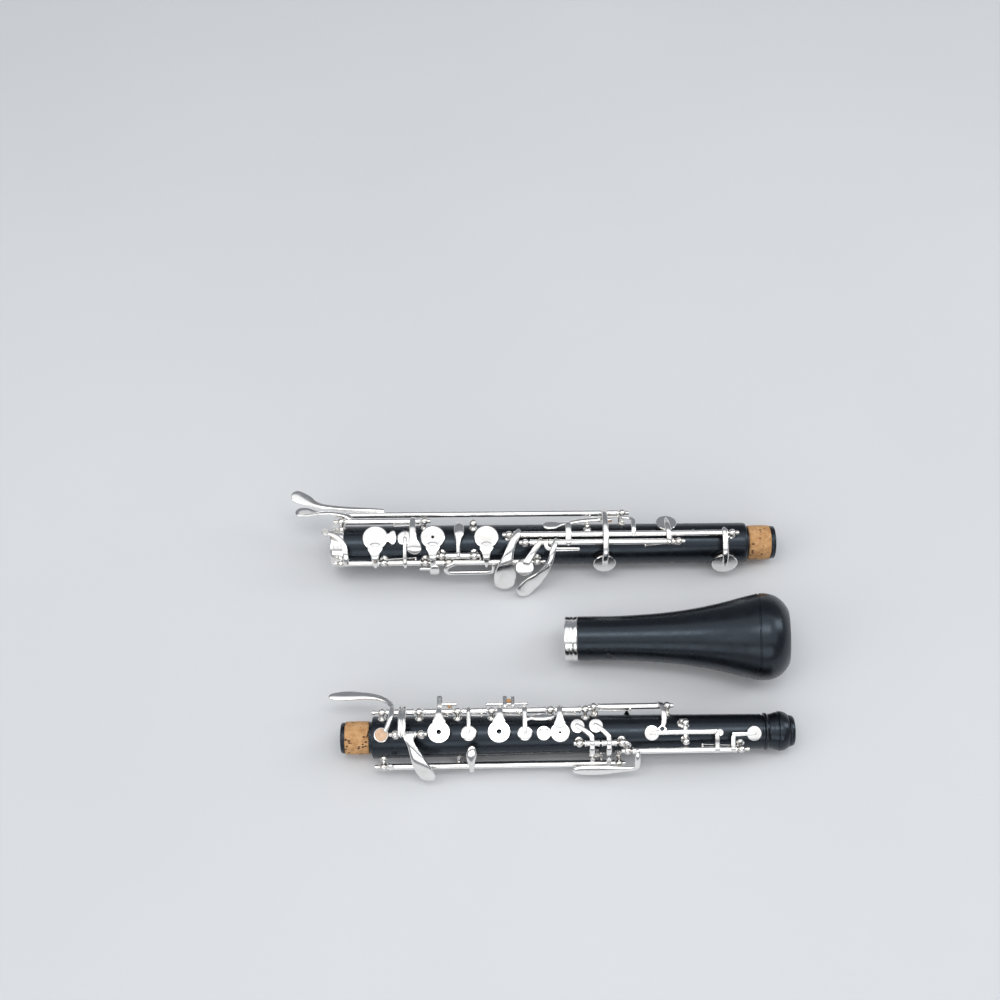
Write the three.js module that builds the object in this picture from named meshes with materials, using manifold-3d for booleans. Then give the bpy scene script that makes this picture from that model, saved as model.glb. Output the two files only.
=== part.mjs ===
// Oboe, laid out in its three sections: upper joint, bell and lower joint, side by side.
// Units are millimetres, +Z is up, and +X runs along the sections.
import * as THREE from 'three';
import Module from 'manifold-3d';

const wasm = await Module();
wasm.setup();

// ---- Driving dimensions -------------------------------------------------------------
const DEG = Math.PI / 180;
const GAP = 0.3;              // air between two pieces that would touch
const SIDES = 8;              // sides of a key tube
const ROUND = 16;             // sides of a pad cup
const BODY_SIDES = 24;        // sides of a turned body

const STEEL_R = 0.75;         // hinge rod
const BORE_R = 1.1;           // bore of a key tube
const TUBE_R = 1.65;          // outside of a key tube
const BALL_R = 2.1;           // head of a post
const NECK_R = 0.9;           // neck of a post, under its head
const FOOT_R = 2.0;           // foot of a post, on the body
const CUP_T = 1.1;            // thickness of a plate or pad cup
const PAD_T = 0.7;            // thickness of a pad
const ARM_T = 1.1;            // thickness of a key arm

const UPPER = { x: -86.1, y: -57, z: 11.4, tilt: 0, turn: 0, length: 239.5 };
const LOWER = { x: -95.2, y: 55.4, z: 15.3, tilt: 0.9, turn: 0, length: 249.9 };
const BELL = { x: 34.5, y: -2.3, z: 12.4, tilt: -5.9, turn: -3, length: 120.7 };

// Outside radius of the black bodies at a distance u from the section's left end.
const upperRadius = (u) => 11.1 - 2.0 * (u - 16.7) / 205;
const LOWER_RADIUS = 11.2;

// ---- Materials ----------------------------------------------------------------------
const RESIN = new THREE.MeshStandardMaterial({ color: 0x17181a, roughness: 0.45, metalness: 0 });
const SILVER = new THREE.MeshStandardMaterial({ color: 0xdcdad4, roughness: 0.18, metalness: 1 });
const STEEL = new THREE.MeshStandardMaterial({ color: 0xb9b9b6, roughness: 0.3, metalness: 1 });
const CORK = new THREE.MeshStandardMaterial({ color: 0xb98d5c, roughness: 0.9, metalness: 0 });
const LEATHER = new THREE.MeshStandardMaterial({ color: 0xa8835a, roughness: 0.8, metalness: 0 });

// ---- Places: u along the section, phi from straight up towards -Y, r from the axis ----
function at(u, phi, r) {
  return new THREE.Vector3(u, -r * Math.sin(phi * DEG), r * Math.cos(phi * DEG));
}

function outward(phi) {
  return new THREE.Vector3(0, -Math.sin(phi * DEG), Math.cos(phi * DEG));
}

// ---- Solids -------------------------------------------------------------------------
// Turns a three.js geometry into a solid, joining the vertices that share a place.
function solid(geometry) {
  const position = geometry.getAttribute('position');
  const index = geometry.index ? geometry.index.array : [...Array(position.count).keys()];
  const places = new Map();
  const vertices = [];
  const shared = [];
  for (let i = 0; i < position.count; i += 1) {
    const place = [position.getX(i), position.getY(i), position.getZ(i)];
    const key = place.map((value) => Math.round(value * 1e4)).join(',');
    if (!places.has(key)) {
      places.set(key, vertices.length / 3);
      vertices.push(...place);
    }
    shared.push(places.get(key));
  }
  const triangles = [];
  for (let i = 0; i < index.length; i += 3) {
    const [a, b, c] = [shared[index[i]], shared[index[i + 1]], shared[index[i + 2]]];
    if (a !== b && b !== c && c !== a) triangles.push(a, b, c);
  }
  return new wasm.Manifold(new wasm.Mesh({
    numProp: 3,
    vertProperties: new Float32Array(vertices),
    triVerts: new Uint32Array(triangles),
  }));
}

function join(solids) {
  return solids.reduce((whole, piece) => whole.add(piece));
}

// A cylinder between two places.
function bar(from, to, radius, sides = SIDES, endRadius = radius) {
  const length = from.distanceTo(to);
  const geometry = new THREE.CylinderGeometry(endRadius, radius, length, sides);
  geometry.translate(0, length / 2, 0);
  const turn = new THREE.Quaternion().setFromUnitVectors(
    new THREE.Vector3(0, 1, 0),
    to.clone().sub(from).normalize(),
  );
  geometry.applyQuaternion(turn);
  geometry.translate(from.x, from.y, from.z);
  return solid(geometry);
}

function ball(place, radius) {
  const geometry = new THREE.SphereGeometry(radius, 6, 4);
  geometry.rotateZ(Math.PI / 2);
  geometry.translate(place.x, place.y, place.z);
  return solid(geometry);
}

// A piece turned about the section's axis, from a closed outline of [u, r] points.
function turned(outline, sides = BODY_SIDES) {
  const points = outline.map(([u, r]) => new THREE.Vector2(r, u));
  if (THREE.ShapeUtils.area(points) < 0) points.reverse();
  points.push(points[0].clone());
  const geometry = new THREE.LatheGeometry(points, sides);
  geometry.rotateZ(-Math.PI / 2);
  return solid(geometry);
}

// A flat disc that faces outward at phi, with its outer face at r.
function disc(u, phi, r, radius, thickness, sides = ROUND) {
  return bar(at(u, phi, r - thickness), at(u, phi, r), radius, sides);
}

// A flat disc whose outer face is centred at a place and faces an angle.
function facedDisc(place, facing, radius, thickness, sides = ROUND) {
  return bar(place.clone().addScaledVector(outward(facing), -thickness), place, radius, sides);
}

// A strap through stations of [u, phi, r, half width, facing]. Its flat side faces outward,
// or towards the angle that facing gives.
function strap(stations, thickness = ARM_T) {
  const full = stations.map(([u, phi, r, halfWidth, facing = phi]) => [u, phi, r, halfWidth, facing]);
  const fine = [full[0]];
  for (let i = 1; i < full.length; i += 1) {
    const steps = Math.max(1, Math.ceil(Math.abs(full[i][1] - full[i - 1][1]) / 22));
    for (let k = 1; k <= steps; k += 1) {
      fine.push(full[i].map((value, axis) => THREE.MathUtils.lerp(
        full[i - 1][axis],
        value,
        k / steps,
      )));
    }
  }
  const places = fine.map(([u, phi, r]) => at(u, phi, r));
  const vertices = [];
  const last = fine.length - 1;
  fine.forEach(([, , , halfWidth, facing], i) => {
    const along = places[Math.min(i + 1, last)].clone().sub(places[Math.max(i - 1, 0)]).normalize();
    const across = along.clone().cross(outward(facing)).normalize();
    const up = across.clone().cross(along).normalize();
    for (const [side, lift] of [[-1, -1], [1, -1], [1, 1], [-1, 1]]) {
      const corner = places[i].clone();
      corner.addScaledVector(across, side * halfWidth);
      corner.addScaledVector(up, lift * thickness / 2);
      vertices.push(corner.x, corner.y, corner.z);
    }
  });
  const triangles = [0, 1, 2, 0, 2, 3];
  for (let i = 0; i < last; i += 1) {
    for (let k = 0; k < 4; k += 1) {
      const [a, b] = [4 * i + k, 4 * i + (k + 1) % 4];
      triangles.push(a, a + 4, b, b, a + 4, b + 4);
    }
  }
  triangles.push(4 * last, 4 * last + 2, 4 * last + 1, 4 * last, 4 * last + 3, 4 * last + 2);
  const geometry = new THREE.BufferGeometry();
  geometry.setAttribute('position', new THREE.Float32BufferAttribute(vertices, 3));
  geometry.setIndex(triangles);
  return solid(geometry);
}

// ---- Hinge rods and posts -----------------------------------------------------------
// rod: { phi, r }. A post stands from the body's surface to the rod.
function post(u, rod, surface) {
  return join([
    bar(at(u, rod.phi, surface + GAP), at(u, rod.phi, rod.r), FOOT_R, 6, NECK_R),
    ball(at(u, rod.phi, rod.r), BALL_R),
  ]);
}

// A steel rod held by posts at the given places along it.
function hingeRod(rod, posts, surface) {
  const solids = posts.map((u) => post(u, rod, surface(u)));
  solids.push(bar(at(posts[0], rod.phi, rod.r), at(posts.at(-1), rod.phi, rod.r), STEEL_R, 6));
  return join(solids);
}

// The tube of a key on its rod. Its bore is cut after the arms are joined to it.
function tube(rod, from, to, radius = TUBE_R) {
  return bar(at(from, rod.phi, rod.r), at(to, rod.phi, rod.r), radius);
}

// Joins a key's pieces and clears the bore for its rod.
function key(rod, solids, extraCuts = []) {
  const bore = bar(at(-60, rod.phi, rod.r), at(300, rod.phi, rod.r), BORE_R, SIDES);
  return [bore, ...extraCuts].reduce((whole, cut) => whole.subtract(cut), join(solids));
}

// An arm from a rod's tube to a place, over the body.
function arm(rod, u, phi, r, halfWidth = 1.5, rodU = u) {
  const bend = Math.sign(phi - rod.phi) * 8;
  return strap([
    [rodU, rod.phi, rod.r, halfWidth],
    [THREE.MathUtils.lerp(rodU, u, 0.3), rod.phi + bend, Math.max(rod.r, r), halfWidth],
    [u, phi, r, halfWidth],
  ]);
}

const group = new THREE.Group();
const sections = {};
for (const [name, place] of Object.entries({ upper: UPPER, lower: LOWER, bell: BELL })) {
  const section = new THREE.Group();
  section.position.set(place.x, place.y, place.z);
  section.rotation.set(0, place.tilt * DEG, place.turn * DEG, 'ZYX');
  group.add(section);
  sections[name] = section;
}

function add(section, name, shape, material) {
  const { vertProperties, triVerts } = shape.getMesh();
  const geometry = new THREE.BufferGeometry();
  geometry.setAttribute('position', new THREE.Float32BufferAttribute(vertProperties, 3));
  geometry.setIndex([...triVerts]);
  geometry.computeVertexNormals();
  const mesh = new THREE.Mesh(geometry, material);
  mesh.name = name;
  sections[section].add(mesh);
}

// How far from a plate's centre its arm ends, and how high the middle of the plate is there.
const REACH = 18;
const underPlate = (r) => (r - CUP_T / 2) / Math.cos(REACH * DEG);

// A cup whose outer face is at r, with the straps that carry it notched round its pad.
function cup(u, phi, r, radius, straps) {
  const room = disc(u, phi, r - CUP_T + 0.1, radius, 4);
  return disc(u, phi, r, radius, CUP_T).add(join(straps).subtract(room));
}

// A pad under a cup whose outer face is at r.
function pad(section, name, u, phi, r, radius) {
  const top = r - CUP_T - GAP;
  add(section, name, disc(u, phi, top, radius, PAD_T, 14), LEATHER);
}

// ---- Lower joint --------------------------------------------------------------------
const LOW_SOCKET = { radius: 8.9, depth: 13.5 };
const LOW_RING = { length: 3.4, radius: 11.9 };
const LOW_TENON = { start: 233.5, radius: 9.2, core: 8.2, cork: 9.6, corkStart: 234.8, corkEnd: 247.2 };
const LOW_BORE = { left: 5.0, right: 7.4 };

function buildLowerBodies() {
  const { radius, depth } = LOW_SOCKET;
  const ringEnd = LOW_RING.length + GAP;
  add('lower', 'lower_joint_body', turned([
    [ringEnd, radius],
    [depth, radius],
    [depth, LOW_BORE.left],
    [LOWER.length, LOW_BORE.right],
    [LOWER.length, LOW_TENON.radius],
    [LOW_TENON.corkEnd + GAP, LOW_TENON.radius],
    [LOW_TENON.corkEnd + GAP, LOW_TENON.core],
    [LOW_TENON.corkStart - GAP, LOW_TENON.core],
    [LOW_TENON.corkStart - GAP, LOW_TENON.radius],
    [LOW_TENON.start, LOW_TENON.radius],
    [LOW_TENON.start, LOWER_RADIUS - 0.5],
    [LOW_TENON.start - 0.5, LOWER_RADIUS],
    [ringEnd, LOWER_RADIUS],
  ]), RESIN);
  add('lower', 'lower_joint_socket_ring', turned([
    [0, radius],
    [LOW_RING.length, radius],
    [LOW_RING.length, LOW_RING.radius],
    [0.6, LOW_RING.radius],
    [0, LOW_RING.radius - 0.6],
  ]), SILVER);
  add('lower', 'lower_joint_tenon_cork', turned([
    [LOW_TENON.corkStart, LOW_TENON.core + GAP],
    [LOW_TENON.corkEnd, LOW_TENON.core + GAP],
    [LOW_TENON.corkEnd, LOW_TENON.cork],
    [LOW_TENON.corkStart, LOW_TENON.cork],
  ]), CORK);
}

// Hinge rods of the lower joint. Three of them share a place for their first post.
const LOW_POST = 5.9;
const ROD_A = { phi: -55, r: 17.5 };
const ROD_B = { phi: -31, r: 16 };
const ROD_C = { phi: 67, r: 15 };
const ROD_FF = { phi: 51, r: 14.6 };
const ROD_D = { phi: 6, r: 15.2 };
const ROD_E = { phi: 23, r: 15.2 };

const onLower = () => LOWER_RADIUS;

function buildLowerRods() {
  const rods = {
    low_b_key_rod: hingeRod(ROD_A, [LOW_POST, 163.9], onLower),
    left_hand_lever_rod: hingeRod(ROD_B, [LOW_POST, 52.4], onLower),
    right_hand_stack_rod: hingeRod(ROD_C, [LOW_POST, 29.9, 53, 66, 115.3], onLower),
    forked_f_rod: hingeRod(ROD_FF, [62.1, 80.2], onLower),
    low_c_key_rod: hingeRod(ROD_D, [99.6, 224.1], onLower),
    e_flat_key_rod: hingeRod(ROD_E, [108.6, 194.1], onLower),
  };
  for (const [name, shape] of Object.entries(rods)) add('lower', name, shape, STEEL);
}

const PLATE_R = 14.6;          // height of an open plate's face above the axis
const VENT_R = 13.4;           // height of a small closed disc's face

// Plates of the right-hand stack: place, size and the stretch of tube that each turns on.
const STACK = {
  f_sharp_plate: { u: 25.2, phi: 8.8, radius: 7.0, from: 8.4, to: 27.4, hole: 0 },
  e_plate: { u: 57.2, phi: 8, radius: 6.7, from: 55.5, to: 63.5, hole: 0.8 },
  d_plate: { u: 87, phi: 8.8, radius: 6.7, from: 68.5, to: 112.8, hole: 0 },
};

function stackPlate({ u, phi, radius, hole, from, to }, rod) {
  const armU = THREE.MathUtils.clamp(u, from + 1.6, to - 1.6);
  const solids = [
    tube(rod, from, to),
    cup(u, phi, PLATE_R, radius, [arm(rod, u, phi + REACH, underPlate(PLATE_R), 2.2, armU)]),
  ];
  const cuts = hole ? [bar(at(u, phi, 0), at(u, phi, 30), hole, 8)] : [];
  return { solids, cuts };
}

function buildRightHandStack() {
  const plates = {};
  for (const [name, plate] of Object.entries(STACK)) {
    plates[name] = stackPlate(plate, ROD_C);
    pad('lower', `${name}_pad`, plate.u, plate.phi, PLATE_R, plate.radius - 0.6);
  }
  plates.f_sharp_plate.solids.push(
    disc(33.4, 8.8, PLATE_R, 3.5, CUP_T, 12),
    strap([[9.1, 67, 15, 1.5], [9.1, 50, 16, 1.5], [7.4, 18, 15.4, 1.4], [-2.2, -2, 15, 1.5]]),
    disc(-2.4, -3, 16, 2.2, 2, 8),
  );
  plates.e_plate.solids.push(strap([[57.5, 72, 16, 2.6], [57.5, 95, 16.6, 2.6]], 1.6));
  plates.d_plate.solids.push(strap([
    [90.5, 67, 15, 1.2], [90.5, 100, 17.2, 1.2], [64, 100, 17.2, 1.2],
  ], 1.4));
  for (const [name, { solids, cuts }] of Object.entries(plates)) {
    add('lower', `${name}_key`, key(ROD_C, solids, cuts), SILVER);
  }
  add('lower', 'f_sharp_vent_key', key(ROD_C, [
    tube(ROD_C, 32.4, 50.5),
    disc(41.7, 8, VENT_R, 4.3, CUP_T, 14),
    arm(ROD_C, 41.7, 22, VENT_R - 0.5, 1.3),
  ]), SILVER);
  add('lower', 'forked_f_key', key(ROD_FF, [
    tube(ROD_FF, 64.6, 77.7),
    strap([
      [71.4, 51, 15.2, 1.2],
      [71.4, 30, 14.8, 1.3],
      [71.8, 2, 14.8, 2.7],
      [71.8, -22, 14.6, 2.9],
      [71.6, -31, 14.3, 1.3],
    ]),
  ]), SILVER);
}

function buildLeftHandLevers() {
  add('lower', 'low_b_key', key(ROD_A, [
    tube(ROD_A, 8.4, 161.4),
    strap([
      [30, -57, 19.8, 1.1, -30],
      [8, -59, 21.1, 1.5, -25],
      [-4, -58.5, 22.4, 1.6, -20],
      [-9, -57.5, 23.8, 2, -15],
      [-14, -56, 26.2, 3.6, -10],
      [-19, -55.5, 28, 4, -5],
      [-22.3, -55, 29.4, 2, -5],
    ], 1.4),
    strap([[28.6, -55, 17.5, 1.2], [28.6, -57, 19.8, 1.2]], 1.4),
    cup(153, 73, 15.8, 6.3, [strap([
      [153.2, -55, 17.5, 1.6],
      [153.2, -40, 19.3, 1.6],
      [153.2, 38, 19.3, 1.6],
      [153, 60, 16.6, 2.2],
      [153, 72, 15.3, 2.4],
    ], 1.2)]),
  ]), SILVER);
  pad('lower', 'low_b_key_pad', 153, 73, 15.8, 5.9);
  add('lower', 'left_hand_lever', key(ROD_B, [
    tube(ROD_B, 8.4, 49.9),
    strap([
      [11, -31, 17.2, 2.2],
      [9, -36, 19, 1.8],
      [1, -45, 19.4, 1.5, -35],
      [-6, -51, 19, 1.6, -25],
      [-11, -56, 19, 2.6, -20],
      [-15, -59, 19.2, 3.4, -15],
      [-20.6, -61.5, 19.3, 1.8, -15],
    ], 1.3),
    strap([
      [46, -31, 17, 1.8],
      [46, -12, 17.4, 1.8],
      [46.4, 15, 16.6, 2.2],
      [47, 30, 16.2, 4.2],
      [46.9, 42, 15.6, 3.6],
    ], 1.2),
  ]), SILVER);
}

function buildFootKeys() {
  add('lower', 'low_c_key', key(ROD_D, [
    tube(ROD_D, 102.1, 221.6),
    strap([
      [104.4, 6, 16.4, 2.2],
      [101.5, 24, 17.9, 2.2],
      [98.6, 48, 18.4, 3.0],
      [97.6, 72, 18.6, 5.2],
      [97.4, 96, 20.6, 6.2],
      [97.2, 112, 24.0, 4.4],
      [97.2, 116, 26.0, 2.0],
    ], 1.3),
    cup(220.3, 76, 15.8, 7.2, [
      strap([[219.6, 6, 16.2, 1.6], [220, 40, 17, 1.8], [220.3, 66, 15.8, 2.6]], 1.2),
    ]),
    strap([[169, 6, 16.6, 1.4], [169.2, -24, 17, 1.4], [163.5, -33, 17, 1.4]], 1.1),
  ]), SILVER);
  pad('lower', 'low_c_key_pad', 220.3, 76, 15.8, 6.8);
  add('lower', 'c_sharp_key', key(ROD_E, [
    tube(ROD_E, 111.2, 121.4),
    strap([[116.5, 23, 16.4, 1.4], [112, 44, 18.2, 1.6], [109, 62, 19.3, 2.6]]),
    facedDisc(at(108.2, 68, 19.6), 52, 5.0, CUP_T),
    strap([[120, 23, 16.2, 1.2], [120, 37, 16.9, 1.2], [139, 37, 16.9, 1.1]], 1.2),
  ]), SILVER);
  add('lower', 'e_flat_key', key(ROD_E, [
    tube(ROD_E, 121.9, 191.4),
    strap([
      [125, 23, 16.4, 1.6],
      [124, 33, 19.1, 1.6],
      [122, 58, 19.7, 1.6],
      [117, 84, 20.4, 3.2, 76],
      [111.4, 102, 23.4, 4.8, 80],
      [107.4, 110, 27, 4.4, 80],
      [105.8, 112, 29.2, 2.2, 80],
    ], 1.3),
    cup(187.8, -22, 15.4, 5.8, [
      strap([[188.8, 23, 16.4, 1.6], [188.4, 8, 18.2, 1.6], [188, -14, 16, 1.9]], 1.1),
    ]),
    strap([[132.6, 23, 16.4, 1.0], [132.6, -2, 18.2, 1.0], [132.6, -17, 17.4, 1.0]], 1.0),
  ]), SILVER);
  pad('lower', 'e_flat_key_pad', 187.8, -22, 15.4, 5.4);
}

// The little lever that turns about a pin set across the joint.
const ROCKER_U = 143.6;
const ROCKER_R = 14.2;

function buildLowerRocker() {
  const pin = [at(ROCKER_U, -46, ROCKER_R), at(ROCKER_U, -17, ROCKER_R)];
  add('lower', 'low_b_rocker_pivot', join([
    bar(...pin, STEEL_R, 6),
    ...pin.map((place) => ball(place, 1.3)),
    ...[-46, -17].map((phi) => bar(
      at(ROCKER_U, phi, LOWER_RADIUS + GAP),
      at(ROCKER_U, phi, ROCKER_R),
      NECK_R,
    )),
  ]), STEEL);
  const middle = pin[0].clone().lerp(pin[1], 0.5);
  const along = pin[1].clone().sub(pin[0]).normalize();
  const barrel = [-2.3, 2.3].map((step) => middle.clone().addScaledVector(along, step));
  const cut = pin.map((place, i) => place.clone().addScaledVector(along, i ? 20 : -20));
  const lever = join([
    bar(...barrel, TUBE_R),
    strap([
      [119.5, -18, 14.9, 1.8],
      [124, -18, 14.9, 2.8],
      [129, -21, 14.9, 1.3],
      [143.6, -31.5, 15.2, 1.3],
      [157.9, -35, 15.4, 1.3],
    ]),
  ]);
  add('lower', 'low_b_rocker', lever.subtract(bar(...cut, BORE_R, 8)), SILVER);
}

function buildThumbRest() {
  const foot = LOWER_RADIUS + GAP;
  add('lower', 'thumb_rest', join([
    strap([[58, 180, foot + 0.5, 4.5], [84, 180, foot + 0.5, 4.5]], 1.0),
    strap([[80, 180, foot + 0.9, 4.2], [81, 180, foot + 2.2, 4.2]], 1.2),
  ]), SILVER);
}

// ---- Bell ---------------------------------------------------------------------------
const BELL_RING = { length: 7, radius: 12.35 };
const BELL_SOCKET = { radius: 9.9, depth: 16 };
const BELL_WALL = 2.6;

// Outside of the bell: [u, r] from the socket ring to the lip.
const BELL_OUTSIDE = [
  [BELL_RING.length + GAP, 12], [24, 12], [42, 12.7], [58, 14], [72, 16], [84, 18.4],
  [94, 20.9], [102, 22.9], [106, 23.3], [111, 22.7], [114.6, 21], [117.4, 18.6], [119.6, 15.9],
];

function buildBell() {
  const inside = BELL_OUTSIDE.slice(1, -2).reverse().map(([u, r]) => [u, Math.max(7.8, r - BELL_WALL)]);
  const body = turned([
    ...BELL_OUTSIDE,
    [BELL.length, 14],
    [BELL.length, 13],
    [117.6, 14.6],
    ...inside,
    [BELL_SOCKET.depth, 7.8],
    [BELL_SOCKET.depth, BELL_SOCKET.radius],
    [BELL_RING.length + GAP, BELL_SOCKET.radius],
  ], 28);
  const vent = bar(at(23.8, 77, 4), at(23.8, 77, 16), 1.6, 10);
  add('bell', 'bell_body', body.subtract(vent), RESIN);
  add('bell', 'bell_ring', turned([
    [0, BELL_SOCKET.radius],
    [BELL_RING.length, BELL_SOCKET.radius],
    [BELL_RING.length, BELL_RING.radius],
    [0.6, BELL_RING.radius],
    [0, BELL_RING.radius - 0.6],
  ]), SILVER);
}

// ---- Upper joint --------------------------------------------------------------------
const UP_TENON = { radius: 8.2, core: 7.2, cork: 8.6, corkStart: 2.3, corkEnd: 15, end: 16.7 };
const REED_WELL = { radius: 3.7, depth: 20 };
const UP_BORE = { left: 4.6, right: 2.2 };

function buildUpperBodies() {
  const top = UPPER.length;
  add('upper', 'upper_joint_body', turned([
    [0, UP_BORE.left],
    [top - REED_WELL.depth, UP_BORE.right],
    [top - REED_WELL.depth, REED_WELL.radius],
    [top, REED_WELL.radius],
    [top, 7],
    [top - 1, 8],
    [236.6, 8.4],
    [234.4, 9.9],
    [232, 10.3],
    [230.6, 10],
    [228, 9.2],
    [225.8, 8.8],
    [225.2, 9.6],
    [223.6, 9.6],
    [223, 8.5],
    [222, 8.6],
    [221.6, upperRadius(221.6)],
    [UP_TENON.end + 0.5, upperRadius(UP_TENON.end)],
    [UP_TENON.end, upperRadius(UP_TENON.end) - 0.5],
    [UP_TENON.end, UP_TENON.radius],
    [UP_TENON.corkEnd + GAP, UP_TENON.radius],
    [UP_TENON.corkEnd + GAP, UP_TENON.core],
    [UP_TENON.corkStart - GAP, UP_TENON.core],
    [UP_TENON.corkStart - GAP, UP_TENON.radius],
    [0, UP_TENON.radius],
  ]), RESIN);
  add('upper', 'upper_joint_tenon_cork', turned([
    [UP_TENON.corkStart, UP_TENON.core + GAP],
    [UP_TENON.corkEnd, UP_TENON.core + GAP],
    [UP_TENON.corkEnd, UP_TENON.cork],
    [UP_TENON.corkStart, UP_TENON.cork],
  ]), CORK);
}

// Hinge rods of the upper joint.
const ROD_M = { phi: -38, r: 15.3 };
const ROD_G = { phi: 14.3, r: 13.6 };
const ROD_T = { phi: 40, r: 13.6 };
const ROD_O = { phi: -58, r: 14.5 };
const ROD_S = { phi: 58, r: 14.6 };
const ROD_1 = { phi: 124, r: 15.6 };
const ROD_2 = { phi: 101, r: 15.6 };

function buildUpperRods() {
  const rods = {
    left_hand_stack_rod: hingeRod(ROD_M, [22.1, 41.6, 61.9, 79.8, 110.7, 129.1], upperRadius),
    g_sharp_lever_rod: hingeRod(ROD_G, [29.4, 42.9], upperRadius),
    trill_key_rod: hingeRod(ROD_T, [125.4, 147.6], upperRadius),
    thumb_octave_rod: hingeRod(ROD_O, [133.6, 172.6], upperRadius),
    side_octave_rod: hingeRod(ROD_S, [150.5, 209.8], upperRadius),
    trill_lever_1_rod: hingeRod(ROD_1, [62, 137.6], upperRadius),
    trill_lever_2_rod: hingeRod(ROD_2, [22.6, 146.6], upperRadius),
  };
  for (const [name, shape] of Object.entries(rods)) add('upper', name, shape, STEEL);
}

const UP_PLATE_R = 14.1;
const UP_STACK = {
  a_plate: { u: 52.2, phi: 10, radius: 5.8, from: 44.1, to: 59.4, hole: 1.3 },
  b_plate: { u: 83.6, phi: 11.3, radius: 5.8, from: 82.3, to: 92.6, hole: 1.3 },
};

function upperPlate({ u, phi, radius, from, to, hole }) {
  const armU = THREE.MathUtils.clamp(u, from + 1.6, to - 1.6);
  return key(ROD_M, [
    tube(ROD_M, from, to),
    cup(u, phi, UP_PLATE_R, radius, [
      arm(ROD_M, u, phi - REACH, underPlate(UP_PLATE_R), 2.0, armU),
    ]),
    strap([[u + 0.8, -42, 16.4, 2.0], [u + 0.8, -60, 17.4, 2.0]], 1.5),
  ], [bar(at(u, phi, 0), at(u, phi, 30), hole, 8)]);
}

function buildLeftHandStack() {
  for (const [name, plate] of Object.entries(UP_STACK)) {
    add('upper', `${name}_key`, upperPlate(plate), SILVER);
    pad('upper', `${name}_pad`, plate.u, plate.phi, UP_PLATE_R, plate.radius - 0.6);
  }
  add('upper', 'a_vent_key', key(ROD_M, [
    tube(ROD_M, 64.4, 77.3),
    disc(67.7, 13.2, VENT_R, 4.0, CUP_T, 14),
    arm(ROD_M, 67.7, 0, VENT_R - 0.5, 1.2),
  ]), SILVER);
  add('upper', 'c_vent_key', key(ROD_M, [
    tube(ROD_M, 93, 108.2),
    disc(97.1, 15.3, VENT_R, 3.8, CUP_T, 14),
    arm(ROD_M, 97.1, 2, VENT_R - 0.5, 1.2),
    strap([[98, -2, 13.5, 1.5], [101, -13, 14.4, 1.7], [106, -18, 14.8, 2.0], [112, -18, 14.8, 1.2]], 1.0),
  ]), SILVER);
  add('upper', 'half_hole_plate_key', key(ROD_M, [
    tube(ROD_M, 113.2, 126.6),
    disc(106.9, 16.6, UP_PLATE_R - 0.3, 3.7, CUP_T, 14),
    cup(115.4, 15.2, UP_PLATE_R - 0.3, 5.0, [
      strap([[106.9, 16.6, UP_PLATE_R - 0.9, 1.4], [115.4, 15.2, UP_PLATE_R - 0.9, 1.4]], 1.0),
      arm(ROD_M, 115.4, 0, UP_PLATE_R - 0.9, 2.0),
    ]),
  ], [bar(at(115.4, 15.2, 0), at(115.4, 15.2, 30), 0.6, 6)]), SILVER);
  pad('upper', 'half_hole_plate_pad', 115.4, 15.2, UP_PLATE_R - 0.3, 4.4);
}

function buildGSharp() {
  add('upper', 'g_sharp_pad_key', key(ROD_M, [
    tube(ROD_M, 24.6, 39.1),
    disc(22.1, 14.4, VENT_R + 0.3, 3.9, CUP_T, 14),
    strap([[27, -38, 16.4, 1.2], [26, -20, 16.2, 1.2], [23.4, 4, VENT_R - 0.1, 1.4]], 1.0),
    strap([[33, -38, 16.6, 1.5], [33, -20, 17, 1.5], [33, 18, 16.6, 1.5]], 1.0),
    strap([
      [27.5, -38, 16.4, 1.3],
      [26, -56, 18.8, 1.7, -45],
      [18, -63, 21.3, 1.9, -25],
      [4, -65, 22.2, 2.7, -15],
      [-5.8, -65, 21.8, 1.6, -15],
    ], 1.2),
  ]), SILVER);
  pad('upper', 'g_sharp_key_pad', 22.1, 14.4, VENT_R + 0.3, 3.5);
  add('upper', 'g_sharp_lever', key(ROD_G, [
    tube(ROD_G, 31.9, 40.4, 1.5),
    strap([
      [37.8, 14.3, 14.6, 1.8],
      [38.2, 32, 15.4, 2.6],
      [40.4, 58, 17.0, 3.9],
      [43.6, 80, 19.2, 3.9],
      [46.4, 96, 21.4, 2.6],
      [47.6, 102, 22.4, 1.0],
    ], 1.3),
  ]), SILVER);
}

// Each trill key: its arm's place on the rod, its cup's place, and its tail.
const TRILLS = [
  { name: 'd_trill_key', rodU: 132, cupU: 124.6, tail: { phi: 90, r: 11.9 } },
  { name: 'c_trill_key', rodU: 140.8, cupU: 134.2, tail: { phi: 76, r: 13.3 } },
];

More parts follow.
